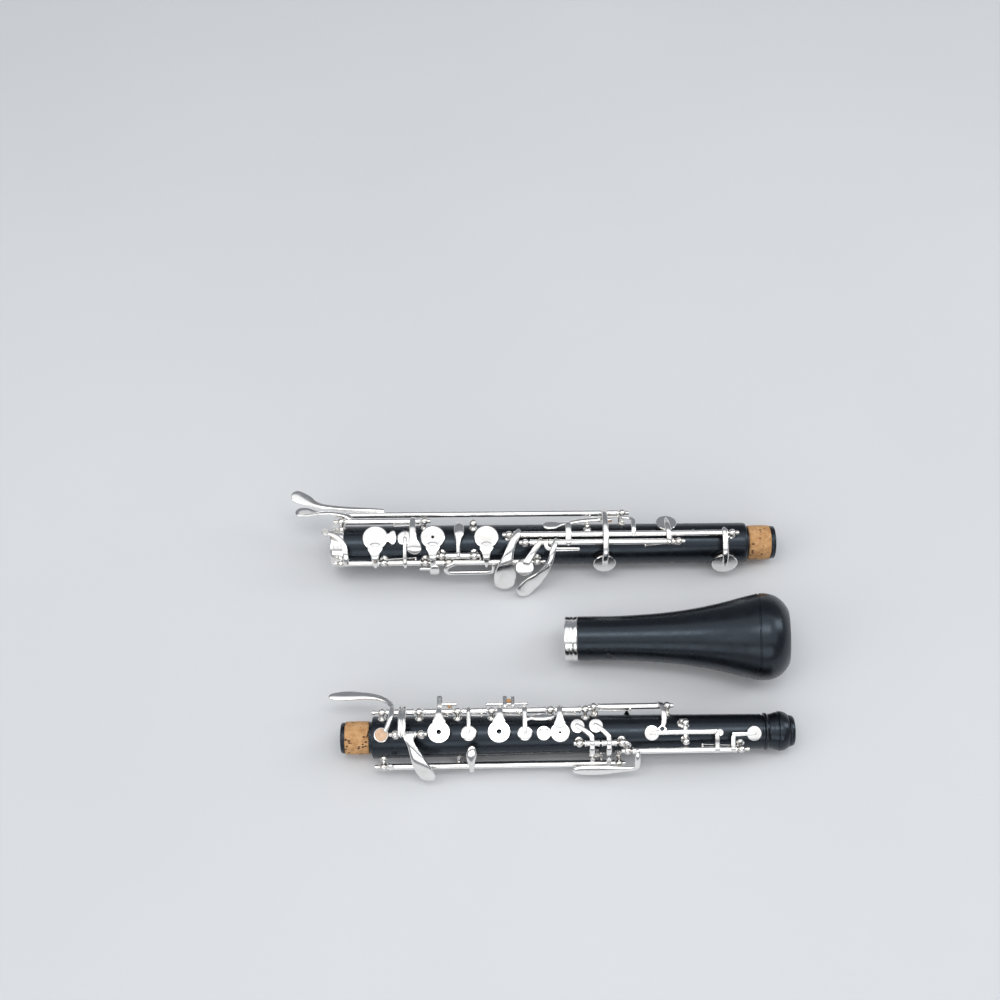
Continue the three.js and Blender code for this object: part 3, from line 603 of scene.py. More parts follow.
def vent(rod, place, radius, width):
    """A small flat vent disc and its straight arm with a pointed heel."""
    u, phi = place
    r = VENT_R
    profile = [
        (r, 0), (r - 0.02, radius * 0.7), (r - 0.1, radius * 0.9), (r - 0.35, radius),
        (r - CUP_T + 0.4, radius), (r - CUP_T + 0.25, radius - 0.15), (r - CUP_T + 0.25, 0),
    ]
    rod_phi, rod_r = rod
    way = 1 if rod_phi > phi else -1
    end = phi - way * math.atan(radius * 0.1 / r) / DEG
    edge = phi + way * math.atan((radius + 0.4) / r) / DEG
    rim = math.hypot(r, radius + 0.4)
    stations = [
        [u, rod_phi + way * 13, rod_r + 0.4, 0.35, 0.7],
        [u, rod_phi + way * 6, rod_r + 1.2, 0.95, 1.2],
        [u, rod_phi - way * 1, rod_r + 1.4, width + 0.2, 1.3],
        [u, (rod_phi + edge) / 2, (rod_r + 1 + rim + 0.3) / 2, width, 1.2],
        [u, edge, rim + 0.25, width, 1.1],
        [u, end, r + 0.25, width * 0.8, 0.9],
    ]
    return [raised(profile, u, phi, 40), loft(stations, crown=0.15)]


def key(name, section, surfaces, pad=None, pad_node=None, cork=None):
    """A silver key in place of its CAD node, with its pad and its cork bumper."""
    make(f"{name}_fine", section, surfaces, SILVER, name, [name])
    if pad:
        make(f"{name}_pads", section, [pad], LEATHER, name, [pad_node])
    if cork:
        make(f"{name}_corks", section, [cork], CORK, name)


def bumper(u, phi, r, radius, height):
    """A dab of cork under a key's tail."""
    return cylinder(at(u, phi, r - height), at(u, phi, r), radius, 12)


# ---- Lower joint ----
LOWER_RADIUS = 11.2
ROD_A = (-55, 17.5)
ROD_B = (-31, 16)
ROD_C = (67, 15)
ROD_FF = (51, 14.6)
ROD_D = (6, 15.2)
ROD_E = (23, 15.2)
LOW_POST = 5.9

# Tone holes, each at its u and phi.
F_SHARP = (25.2, 8.8)
F_SHARP_VENT = (41.7, 8)
E_HOLE = (57.2, 8)
D_HOLE = (87, 8.8)
LOW_B = (153, 73)
E_FLAT = (187.8, -22)
LOW_C = (220.3, 76)


def on_lower(_):
    """The lower joint's radius, the same at every u."""
    return LOWER_RADIUS


def chimney(u, phi, radius, surface):
    """The flat-topped rim of a tone hole, with its hole sunk into the body."""
    top = surface + 0.12
    profile = [(surface * 0.7, 0), (surface * 0.72, radius), (top - 0.2, radius), (top, radius - 0.25),
               (top, radius * 0.62), (top - 1.6, radius * 0.58), (top - 1.6, 0)]
    return raised(profile, u, phi, 40)


def cork_sleeve(start, end, radius, inside):
    """A tenon cork: a slightly barrelled sleeve with soft edges."""
    profile = [(start, inside), (start, radius - 0.5), (start + 0.25, radius - 0.2)]
    middle = ((start + end) / 2, radius + 0.1)
    profile += curved([(start + 0.8, radius - 0.05), middle, (end - 0.8, radius - 0.05)], 0.6)
    profile += [(end - 0.25, radius - 0.2), (end, radius - 0.5), (end, inside)]
    return turned(profile)


def build_lower_body():
    end = 249.9
    body = turned([
        (7.3, 8.9), (13.5, 8.9), (13.5, 5), (end, 7.4), (end, 8.6), (end - 0.25, 9), (end - 0.7, 9.2),
        (247.5, 9.2), (247.5, 8.2), (234.4, 8.2), (234.4, 9.3), (233.5, 9.5), (233.5, 10.4),
        (233.2, 10.9), (232.6, 11.15), (231.4, 11.2), (7.3, 11.2),
    ])
    holes = [(*F_SHARP, 5.4), (*F_SHARP_VENT, 3.3), (*E_HOLE, 5.2), (*D_HOLE, 5.2), (71.5, -2, 2.4),
             (*LOW_B, 4.9), (*LOW_C, 5.6), (*E_FLAT, 4.6), (46.8, 34, 3.2)]
    rims = [chimney(u, phi, radius, LOWER_RADIUS) for u, phi, radius in holes]
    replace("lower_joint_body", "lower", [body, *rims], RESIN)
    ring = turned([
        (0.3, 8.9), (7.3, 8.9), (7.3, 11.5), (7, 11.8), (5, 11.8), (4.8, 11.6), (4.4, 11.6),
        (4.2, 11.8), (2.6, 11.8), (2.4, 11.6), (2, 11.6), (1.8, 11.8), (0.5, 11.8), (0.1, 11.5),
        (0, 11), (0, 9.2),
    ])
    replace("lower_joint_socket_ring", "lower", [ring], SILVER)
    replace("lower_joint_tenon_cork", "lower", [cork_sleeve(234.8, 247.2, 9.6, 8.3)], CORK)


def build_lower_rods():
    rods = {
        "low_b_key_rod": (ROD_A, [LOW_POST, 163.9], (2, 1.2)),
        "left_hand_lever_rod": (ROD_B, [LOW_POST, 52.4], (1.6, 1)),
        "right_hand_stack_rod": (ROD_C, [LOW_POST, 29.9, 53, 66, 115.3], (1.2, 2.2)),
        "forked_f_rod": (ROD_FF, [62.1, 80.2], (0.9, 0.9)),
        "low_c_key_rod": (ROD_D, [99.6, 224.1], (1.2, 1.2)),
        "e_flat_key_rod": (ROD_E, [108.6, 194.1], (1, 1)),
    }
    for name, (rod, posts, stubs) in rods.items():
        replace(name, "lower", hinge(rod, posts, on_lower, stubs), STEEL)
    springs = [
        *needle(ROD_C, LOWER_RADIUS, 31.2, 48, -1),
        *needle(ROD_C, LOWER_RADIUS, 67.5, 84, -1),
        *needle(ROD_D, LOWER_RADIUS, 222.4, 203, -1),
        *needle(ROD_E, LOWER_RADIUS, 192.5, 176, 1),
        *needle(ROD_B, LOWER_RADIUS, 50.5, 36, 1),
        *needle(ROD_A, LOWER_RADIUS, 162, 146, 1),
    ]
    make("lower_joint_springs", "lower", springs, STEEL)
    make("lower_joint_guide_post", "lower", [post(79.8, (-27.4, 15), LOWER_RADIUS)], STEEL)


def build_right_hand_stack():
    key("f_sharp_plate_key", "lower", [
        tube(ROD_C, 8.4, 27.4),
        *finger(ROD_C, F_SHARP, PLATE_R, 7),
        loft([[31, 8.8, PLATE_R - 0.6, 2.6], [32.6, 8.8, PLATE_R - 0.5, 2.5],
              [33.8, 8.8, PLATE_R - 0.4, 3.9],
              [36.9, 8.8, PLATE_R - 0.4, 4.2]], 1, crown=0.15, ends=(0.2, 0.35)),
        loft([[9.1, 71, 15.6, 0.8], [9.1, 64, 17, 1.6], [9.1, 48, 17.1, 1.6], [8.2, 28, 16.4, 1.5],
              [4.6, 10, 15.8, 1.4], [0.6, 1, 15.5, 1.4], [-2.4, -2.5, 15.2, 1.5]], 1.2, crown=0.2),
        cylinder(at(-2.4, -3, 13.9), at(-2.4, -3, 16.6), 2.1, 20, 0.3),
        *slotted(at(-2.4, -3, 16.6), outward(-3), 1.2, 0.4),
    ], pad_disc(*F_SHARP, PLATE_R, 6.4), "f_sharp_plate_pad", bumper(-2.4, -3, 14, 1.5, 1.2))
    key("e_plate_key", "lower", [
        tube(ROD_C, 55.5, 63.5),
        *finger(ROD_C, E_HOLE, PLATE_R, 6.7, 0.8),
        loft([[58, 70, 16.4, 2.2], [58, 84, 17, 2.8],
              [58, 98, 16.6, 2.6]], 1.6, crown=0.1, ends=(0.3, 0.2)),
        loft([[49.4, 82, 16, 1], [58, 82, 16.2, 1]], 1.3),
    ], pad_disc(*E_HOLE, PLATE_R, 6.1, 0.9), "e_plate_pad", bumper(58, 92, 16.2, 1.7, 1.6))
    key("d_plate_key", "lower", [
        tube(ROD_C, 68.5, 112.8),
        *finger(ROD_C, D_HOLE, PLATE_R, 6.7, root=1.3, spread=0.6),
        loft([[69.8, 66, 16.4, 1.2], [66.4, 70, 17, 1.2], [64.2, 80, 17.3, 1.2, 1.3, 60],
              [65.6, 91, 17.2, 1.2, 1.3, 62], [70, 93, 17.1, 1.2, 1.3, 62], [86.4, 93, 17, 1.2, 1.3, 62],
              [90.2, 89, 16.8, 1.2, 1.3, 64], [91, 78, 16.5, 1.1], [91, 66, 16.1, 1.1]], 1.2, crown=0.1),
    ], pad_disc(*D_HOLE, PLATE_R, 6.1), "d_plate_pad")
    key("f_sharp_vent_key", "lower", [
        tube(ROD_C, 32.4, 50.5),
        *vent(ROD_C, F_SHARP_VENT, 4.3, 1.15),
        loft([[41.7, 4, VENT_R + 0.1, 0.3], [41.7, -6, VENT_R + 0.25, 0.3]], 0.5),
    ])
    key("forked_f_key", "lower", [
        tube(ROD_FF, 64.6, 77.7),
        loft([[71.4, 56, 15.2, 0.9], [71.4, 48, 16.2, 1.1], [71.4, 30, 15.8, 1.2], [71.5, 15, 15.4, 1.7],
              [71.8, 2, 15.2, 2.7], [71.9, -12, 15, 2.8], [71.8, -22, 14.8, 2.2],
              [71.6, -30, 14.5, 1.2]], 1.1, crown=0.35),
    ])


def build_left_hand_levers():
    key("low_b_key", "lower", [
        tube(ROD_A, 8.4, 161.4),
        loft([[30.2, -56, 19.4, 1.2, 1.4, -30], [27, -57, 20.1, 1.4, 1.4, -28],
              [8, -58.5, 21.1, 1.7, 1.4, -22], [-4, -58.5, 22.4, 1.7, 1.4, -18],
              [-9, -57.5, 23.8, 2.1, 1.3, -14], [-13.5, -56.2, 26, 3.5, 1.2, -8],
              [-18, -55.5, 27.8, 4, 1.2, -4], [-22.4, -55, 29.4, 3.2, 1.2, -2]], 1.4, crown=0.35),
        loft([[28.6, -55, 17.5, 1.2], [28.6, -57, 19.8, 1.2]], 1.4),
        loft([[153.2, -64, 18.2, 0.7], [153.2, -55, 19.4, 1.5], [153.2, -40, 19.9, 1.6],
              [153.2, 0, 19.8, 1.6], [153.2, 38, 19.7, 1.6], [153, 54, 18.6, 1.7], [153, 66, 17.2, 1.5],
              [153, 82, 16.8, 1.1], [153, 90, 16.6, 0.6]], 1.3, crown=0.3),
        dome(*LOW_B, 15.8, 6.3, 0.4),
    ], pad_disc(*LOW_B, 15.8, 5.9), "low_b_key_pad")
    key("left_hand_lever", "lower", [
        tube(ROD_B, 8.4, 49.9),
        loft([[12, -31, 17.4, 2, 1.3, -31], [9, -36, 19, 1.8, 1.3, -34], [1, -45, 19.4, 1.6, 1.3, -32],
              [-6, -51, 19, 1.7, 1.3, -24], [-11, -56, 19, 2.7, 1.2, -18], [-15, -59, 19.2, 3.4, 1.2, -12],
              [-20.7, -61.5, 19.3, 2.8, 1.2, -12]], 1.3, crown=0.3),
        loft([[46, -37, 16.8, 0.9], [46, -31, 17.6, 1.7], [46, -12, 17.5, 1.8], [46.3, 12, 16.9, 2],
              [46.7, 26, 16.5, 3.6], [47, 36, 16, 4.2], [46.9, 45, 15.4, 3.4]], 1.2, crown=0.15),
    ])


def build_foot_keys():
    key("low_c_key", "lower", [
        tube(ROD_D, 102.1, 221.6),
        loft([[105.2, -3, 16.4, 1], [104.4, 6, 17, 2], [101.5, 24, 18, 2.2], [99.2, 46, 18.5, 2.9],
              [97.8, 68, 18.8, 4.9], [97.4, 88, 19.9, 6.2], [97.2, 102, 21.8, 5.9],
              [97.2, 114, 24.8, 4.3]], 1.3, crown=0.6),
        dome(*LOW_C, 15.8, 7.2, 0.4),
        loft([[219.6, -4, 15.8, 0.6], [219.6, 3, 16.8, 1.5], [219.8, 24, 17.4, 1.6], [220, 46, 17.8, 1.7],
              [220.3, 64, 17, 1.5], [220.3, 80, 16.7, 1.2], [220.3, 92, 16.7, 0.6]], 1.3, crown=0.3),
        loft([[169, 10, 16.4, 1.2], [169, -2, 17.4, 1.3], [169.2, -22, 17.2, 1.3], [167.6, -31, 17, 1.3],
              [162.5, -34, 17, 1.3]], 1.1, crown=0.1),
    ], pad_disc(*LOW_C, 15.8, 6.8), "low_c_key_pad")
    key("c_sharp_key", "lower", [
        tube(ROD_E, 111.2, 121.4),
        loft([[117.4, 15, 15.6, 0.9], [116.5, 24, 17, 1.5], [113.4, 38, 18, 1.6], [110.6, 52, 18.6, 2],
              [109.2, 60, 19.1, 2.2, 1.1, 54], [108.6, 66, 19, 2.4, 0.8, 52]], 1.2, crown=0.2),
        dome(108.2, 68, 19.6, 5, 0.45, face=46),
        loft([[120, 23, 16.2, 1.1], [120.4, 33, 16.7, 1.1], [124, 37, 16.8, 1.1], [139, 37, 16.7, 1]], 1.1),
    ])
    key("e_flat_key", "lower", [
        tube(ROD_E, 121.9, 191.4),
        loft([[126, 16, 16, 0.9], [125, 25, 17.4, 1.5], [124, 36, 19.2, 1.6], [122, 58, 19.8, 1.7],
              [117.6, 82, 20.4, 2.9, 1.3, 72], [112.4, 98, 22.6, 4.7, 1.3, 78],
              [108.4, 107, 25.6, 4.9, 1.3, 80], [106, 111.4, 28.8, 4, 1.3, 80]], 1.3, crown=0.5),
        dome(*E_FLAT, 15.4, 5.8, 0.35),
        loft([[188.8, 29, 16, 0.6], [188.8, 23, 16.9, 1.5], [188.4, 8, 17.8, 1.6], [188, -8, 17.2, 1.6],
              [187.9, -22, 16.2, 1.3], [187.8, -34, 15.9, 0.6]], 1.15, crown=0.3),
        loft([[132.6, 30, 15.8, 0.8], [132.6, 22, 17.2, 1.6], [132.6, 6, 18.2, 1.7],
              [132.6, -10, 18.1, 1.6], [132.6, -19, 17.2, 1.3]], 0.9, crown=0.1),
    ], pad_disc(*E_FLAT, 15.4, 5.4), "e_flat_key_pad")


def cross_pin(u, phis, r, surface, head):
    """A pin set across a joint between two small ball posts."""
    ends = [at(u, phi, r) for phi in phis]
    surfaces = [cylinder(*ends, ROD_RADIUS)]
    for phi in phis:
        surfaces.append(post(u, (phi, r), surface, head))
    return surfaces, ends


def barrel(ends, half):
    """The short tube of a lever that turns on a pin set across the joint."""
    along = unit(ends[1] - ends[0])
    middle = (ends[0] + ends[1]) / 2
    profile = [(-half, TUBE_BORE), (-half, TUBE_R), (half, TUBE_R), (half, TUBE_BORE)]
    return spin(profile, middle, along, 24, ring=True)


def build_lower_rocker():
    pin, ends = cross_pin(143.6, (-46, -17), 14.2, LOWER_RADIUS, 1.5)
    replace("low_b_rocker_pivot", "lower", pin, STEEL)
    key("low_b_rocker", "lower", [
        barrel(ends, 2.3),
        loft([[118.4, -17, 14.9, 1.4], [121.5, -17.5, 14.9, 2.9], [125, -18.5, 14.9, 2.9],
              [129.5, -21, 14.9, 1.3], [136, -26, 15.4, 1.4], [143.6, -31.5, 15.8, 1.7],
              [150, -33, 15.9, 1.9], [157.9, -35, 15.6, 1.5]], 1.1, crown=0.4),
        cylinder(at(150.5, -33, 14.6), at(150.5, -33, 17.4), 0.9, 16),
        *slotted(at(150.5, -33, 17.4), outward(-33), 1.1, 0.4),
    ], cork=bumper(156.4, -35, 15.2, 1.2, 1.1))


def build_thumb_rest():
    base = 11.5
    surfaces = [
        loft([[56.5, 180, base + 0.4, 3.6], [60, 180, base + 0.5, 4.5], [80, 180, base + 0.5, 4.5],
              [84.5, 180, base + 0.4, 3.4]], 1, crown=0.1),
        loft([[79.4, 180, base + 0.6, 4.2], [80.6, 180, base + 1.4, 4.3],
              [81.4, 180, base + 2.6, 4.1]], 1.1),
    ]
    for screw_u in (61, 73):
        surfaces += slotted(at(screw_u, 180, base + 1), outward(180), 1.6, 0.4)
    replace("thumb_rest", "lower", surfaces, SILVER)


# ---- Bell ----
def build_bell():
    length = 120.7
    outside = curved([(7.3, 12), (24, 12), (42, 12.7), (58, 14), (72, 16), (84, 18.4), (94, 20.9),
                      (100, 22.4), (103.6, 23.15)], 1.2)
    seam = [(104, 23.2), (104.25, 22.9), (104.7, 22.85), (104.95, 23.3)]
    lip = curved([(105.6, 23.4), (108.5, 23.3), (112, 22.5), (115, 21), (117.6, 18.7), (119.5, 16.2),
                  (120.5, 14.2), (length, 13.2), (120.2, 12.7), (118.8, 13.4), (115, 17)], 0.7)
    inside = curved([(112, 18.4), (106, 19.4), (98, 19), (84, 15.8), (72, 13.4), (58, 11.4), (42, 10.1),
                     (28, 9.2), (16.2, 7.8)], 1.5)
    body = turned([*outside, *seam, *lip, *inside, (16, 7.8), (16, 9.9), (7.3, 9.9)], 128)
    vent_at = (23.8, 77)
    rim_profile = [(10.2, 1.5), (12.02, 1.7), (12.05, 2), (11.7, 2.3), (11, 2.3)]
    rim = raised(rim_profile, *vent_at, 32, ring=True)
    replace("bell_body", "bell", [body, rim], RESIN)
    # A black resin disc that caps the vent hole: painted shade standing in for the dark inside of the hole.
    well = raised([(12.08, 0), (12.08, 1.55), (11, 1.55), (11, 0)], *vent_at, 24)
    make("bell_vent_shade_disc", "bell", [well], RESIN)
    ring = turned([
        (0.2, 9.9), (7, 9.9), (7, 12.15), (6.7, 12.35), (5, 12.3), (4.6, 12), (4.35, 12),
        (4.15, 12.3), (3.6, 12.42), (3.05, 12.3), (2.85, 12), (2.6, 12), (2.2, 12.3), (0.5, 12.35),
        (0.15, 12.1), (0, 11.7), (0, 10.2),
    ])
    replace("bell_ring", "bell", [ring], SILVER)


# ---- Upper joint ----
ROD_M = (-38, 15.3)
ROD_G = (14.3, 13.6)
ROD_T = (40, 13.6)
ROD_O = (-58, 14.5)
ROD_S = (58, 14.6)
ROD_1 = (124, 15.6)
ROD_2 = (101, 15.6)

# Tone holes, each at its u and phi.
G_SHARP = (22.1, 14.4)
A_HOLE = (52.2, 10)
A_VENT = (67.7, 13.2)
B_HOLE = (83.6, 11.3)
C_VENT = (97.1, 15.3)
HALF_VENT = (106.9, 16.6)
HALF_HOLE = (115.4, 15.2)
D_TRILL = (124.6, 1)
C_TRILL = (134.2, 1)
FIRST_OCTAVE = (163.3, 20)
SECOND_OCTAVE = (216.6, 24.6)


def upper_radius(u):
    """The upper joint's radius, which shrinks by 2 mm from its tenon to its finial."""
    return 11.1 - 2.0 * (u - 16.7) / 205


def build_upper_body():
    top = 239.5
    finial = [
        *curved([(top, 6.6), (top - 0.1, 7.2), (top - 0.7, 7.8), (top - 1.8, 8.2), (top - 2.6, 8.3)], 0.3),
        (236.7, 8.1), (236.5, 8.4),
        *curved([(236.3, 8.75), (235.2, 9.5), (233.6, 10.15), (232.2, 10.4), (231.2, 10.35),
                 (230.8, 10.1)], 0.4),
        (230.6, 9.6), (230.3, 9.6),
        *curved([(230.1, 9.95), (229, 9.7), (227.4, 9.2), (226.2, 8.95)], 0.4),
        (225.7, 8.6), (225.4, 8.7),
        *curved([(225.2, 9.3), (224.6, 9.7), (224, 9.7), (223.5, 9.3)], 0.25),
        (223.2, 8.6), (222.3, 8.6), (222, upper_radius(222)), (221.4, upper_radius(221.4)),
    ]
    foot = [
        (17.4, upper_radius(17)), (16.9, 10.9), (16.7, 10.4), (16.7, 8.5), (15.3, 8.3), (15.3, 7.2),
        (2, 7.2), (2, 8.1), (0.8, 8.1), (0.2, 7.8), (0, 7.4), (0, 4.6),
    ]
    well = [(top - 20, 2.2), (top - 20, 3.7), (top - 0.3, 3.7), (top, 4)]
    body = turned([*finial, *foot, *well])
    holes = [(*A_HOLE, 4.4), (*A_VENT, 3.1), (*B_HOLE, 4.4), (*C_VENT, 2.9), (*HALF_VENT, 2.9),
             (*HALF_HOLE, 3.9), (*D_TRILL, 2.8), (*C_TRILL, 2.8), (*FIRST_OCTAVE, 2.9),
             (*SECOND_OCTAVE, 2.9), (*G_SHARP, 3)]
    rims = [chimney(u, phi, radius, upper_radius(u)) for u, phi, radius in holes]
    replace("upper_joint_body", "upper", [body, *rims], RESIN)
    replace("upper_joint_tenon_cork", "upper", [cork_sleeve(2.3, 15, 8.6, 7.3)], CORK)


def build_upper_rods():
    rods = {
        "left_hand_stack_rod": (ROD_M, [22.1, 41.6, 61.9, 79.8, 110.7, 129.1], (2.8, 0.8), 2.1),
        "g_sharp_lever_rod": (ROD_G, [29.4, 42.9], (0.5, 0.5), 2.2),
        "trill_key_rod": (ROD_T, [125.4, 147.6], (0.6, 0.6), 2.1),
        "thumb_octave_rod": (ROD_O, [133.6, 172.6], (0.6, 0.8), 2.1),
        "side_octave_rod": (ROD_S, [150.5, 209.8], (0.8, 1.8), 2),
        "trill_lever_1_rod": (ROD_1, [62, 137.6], (0.8, 0.8), 2),
        "trill_lever_2_rod": (ROD_2, [22.6, 146.6], (2.2, 0.8), 2.1),
    }
    for name, (rod, posts, stubs, head) in rods.items():
        replace(name, "upper", hinge(rod, posts, upper_radius, stubs, head), STEEL)
    springs = [
        *needle(ROD_M, upper_radius(42), 42.8, 57, 1),
        *needle(ROD_M, upper_radius(63), 63.2, 75, 1),
        *needle(ROD_M, upper_radius(80), 81, 95, 1),
        *needle(ROD_M, upper_radius(112), 112, 124, 1),
        *needle(ROD_O, upper_radius(135), 135.5, 153.5, 1),
        *needle(ROD_S, upper_radius(208), 208, 190, -1),
    ]
    make("upper_joint_springs", "upper", springs, STEEL)
    studs = []
    for u, phi in ((134.6, 78), (145.8, 86)):
        surface = upper_radius(u)
        profile = [(surface - 0.5, 0), (surface - 0.5, 1.3), (surface + 0.3, 1.3), (surface + 0.6, 0.8),
                   (surface + 2.4, 0.75), (surface + 2.6, 1.7), (surface + 3.1, 1.7), (surface + 3.2, 0)]
        studs.append(raised(profile, u, phi, 24))
    make("upper_joint_guide_studs", "upper", studs, STEEL)


def build_left_hand_stack():
    key("a_plate_key", "upper", [
        tube(ROD_M, 44.1, 59.4),
        *finger(ROD_M, A_HOLE, UP_PLATE_R, 5.8, 1.3, root=1.4),
        loft([[52.4, -43, 16.4, 1.5], [52.4, -53, 19, 1.6], [52.4, -59, 21.2, 1.6]], 2, ends=(0.3, 0.1)),
        loft([[52.8, -50, 17.9, 1.1], [61.6, -50, 17.9, 1.1]], 1.6, ends=(0.1, 0.3)),
    ], pad_disc(*A_HOLE, UP_PLATE_R, 5.2, 1.4), "a_plate_pad", bumper(57.6, -50, 17.2, 1.2, 1))
    key("b_plate_key", "upper", [
        tube(ROD_M, 82.3, 92.6),
        *finger(ROD_M, B_HOLE, UP_PLATE_R, 5.8, 1.3, rod_u=84.2, root=1.4),
        *[loft([[u, -43, 16.4, w], [u, -52, 18.6, w], [u, -58, tip_r, w]], 2, ends=(0.3, 0.1))
          for u, tip_r, w in ((86.8, 20.6, 1.2), (91, 20.4, 1.1))],
        loft([[76.4, -50, 17.5, 0.9], [99.2, -50, 17.5, 0.9]], 1.4),
    ], pad_disc(*B_HOLE, UP_PLATE_R, 5.2, 1.4), "b_plate_pad", bumper(88.9, -55, 19.6, 1.1, 2.2))
    key("a_vent_key", "upper", [
        tube(ROD_M, 64.4, 77.3),
        *vent(ROD_M, A_VENT, 4, 1.05),
    ])
    key("c_vent_key", "upper", [
        tube(ROD_M, 93, 108.2),
        *vent(ROD_M, C_VENT, 3.8, 1.25),
        loft([[97.6, -12, 14.6, 0.9], [100.2, -16.5, 14.7, 1.1], [103, -17.6, 14.8, 1.9],
              [106.5, -18, 14.9, 2.2], [109.6, -18, 14.9, 1.8], [112.8, -18, 14.8, 0.7]], 1, crown=0.4),
    ])
    face = UP_PLATE_R - 0.3
    bridge_r = UP_PLATE_R - 0.85
    half = [
        tube(ROD_M, 113.2, 126.6),
        plate(*HALF_VENT, face, 3.7),
        plate(*HALF_HOLE, face, 5, 0.6),
        loft([[108.6, 16.4, bridge_r, 1.6], [112.6, 15.6, bridge_r, 1.8]], 0.9, ends=(0, 0)),
        plate_arm(ROD_M, *HALF_HOLE, face, 5, root=1.5, spread=0.7),
    ]
    pad = pad_disc(*HALF_HOLE, face, 4.4, 0.7)
    key("half_hole_plate_key", "upper", half, pad, "half_hole_plate_pad")


def build_g_sharp():
    disc_r = VENT_R + 0.3
    cup = [
        (disc_r - 0.5, 0), (disc_r - 0.5, 3.2), (disc_r - 0.05, 3.35), (disc_r, 3.6), (disc_r - 0.2, 3.9),
        (disc_r - CUP_T, 3.9), (disc_r - CUP_T, 0),
    ]
    pad_key = [
        tube(ROD_M, 24.6, 39.1),
        raised(cup, *G_SHARP, 40),
        loft([[-6.8, -65, 21.6, 1.4, 1.2, -12], [-3, -65, 21.9, 2.4, 1.2, -12],
              [4, -65, 22.2, 2.9, 1.2, -14], [12, -64.5, 22, 2.2, 1.2, -18],
              [19.5, -62.5, 21.1, 1.9, 1.2, -26], [25, -55, 19.2, 1.8, 1.2, -44],
              [27.2, -44, 17.4, 1.6, 1.2, -44], [27.4, -30, 16.9, 1.5], [26.6, -14, 16.2, 1.25],
              [25.2, 0, 15, 1.2], [23.8, 9, 14.1, 1.1]], 1.2, crown=0.4),
    ]
    for u in (31.9, 34.1):
        bar = [[u, -52, 16.6, 0.6], [u, -44, 17.5, 0.9], [u, -20, 17.6, 0.95], [u, 6, 17.2, 0.95],
               [u, 19, 16.6, 0.8]]
        pad_key.append(loft(bar, 1.1, crown=0.05))
    pad_key.append(loft([[33, -46, 17.1, 1.1], [33, -20, 17.2, 1.1], [33, 17, 16.5, 1.1]], 0.7))
    key("g_sharp_pad_key", "upper", pad_key, pad_disc(*G_SHARP, disc_r, 3.5), "g_sharp_key_pad")
    face = [(disc_r - 0.6, 0), (disc_r - 0.6, 3.2), (disc_r - 0.25, 3.2), (disc_r - 0.1, 2.6),
            (disc_r - 0.05, 0)]
    make("g_sharp_pad_face", "upper", [raised(face, *G_SHARP, 32)], PAD_SKIN, "g_sharp_pad_key")
    key("g_sharp_lever", "upper", [
        tube(ROD_G, 31.9, 40.4, 1.5),
        loft([[36.2, 12, 14.8, 3.2], [36.6, 20, 15.3, 2.9], [37.6, 32, 15.8, 2.1], [39.4, 48, 16.5, 2.7],
              [41.6, 66, 18, 3.8], [44.2, 83, 19.8, 4.5], [46, 94, 21.4, 4.4],
              [47.4, 102, 22.8, 3.6]], 1.3, crown=0.5, ends=(0.3, 1)),
    ])


def build_trill_keys():
    half = 3.9
    trills = (
        ("d_trill_key", 132, D_TRILL, 90, 11.9),
        ("c_trill_key", 140.8, C_TRILL, 76, 13.3),
    )
    for name, rod_u, (cup_u, cup_phi), tail_phi, tail_r in trills:
        key(name, "upper", [
            tube(ROD_T, rod_u - half, rod_u + half, 1.5),
            dome(cup_u, cup_phi, VENT_R, 3.7, 0.3),
            loft([[rod_u, 44, 15, 1.2], [rod_u, 36, 15.4, 1.3], [rod_u - 0.2, 26, 15.2, 1.3],
                  [rod_u - 1.4, 20, 14.9, 1.3], [cup_u + 2.2, 8, 14.3, 1.2],
                  [cup_u - 1, -2, 13.9, 0.9]], 1, crown=0.15),
            loft([[rod_u, 40, 15.2, 1.3], [rod_u, 52, 15.3, 1.4],
                  [rod_u, (60 + tail_phi) / 2, (15 + tail_r) / 2, 1.4],
                  [rod_u, tail_phi, tail_r, 1.4]], 1, crown=0.1),
        ], cork=bumper(rod_u, min(64, tail_phi - 8), 14.2, 1, 0.9))
    key("d_trill_lever", "upper", [
        tube(ROD_1, 64.6, 135.1),
        loft([[133, 124, 14.6, 1.3], [133, 112, 13, 1.3], [132.4, 90, 13.1, 1.3]], 0.9),
        loft([[69, 124, 17, 1.2], [69, 101, 18.6, 1.2], [69, 78, 17.2, 1.6]], 1),
        loft([[69, 82, 17.4, 1.5], [68.8, 70, 16.3, 2.2], [69, 58, 15.5, 2.7], [69.3, 48, 14.9, 2.2],
              [69.5, 40, 14.4, 1.3]], 1, crown=0.5),
    ])
    key("c_trill_lever", "upper", [
        tube(ROD_2, 25.1, 144.1),
        loft([[141, 101, 16.4, 1.3], [141, 88, 15.2, 1.3], [141, 77, 14.7, 1.3]], 1),
        loft([[26.4, 101, 16.6, 1.6], [26.4, 88, 17.2, 1.8], [26.4, 78, 16.4, 2.2]], 1.2, crown=0.3),
    ])


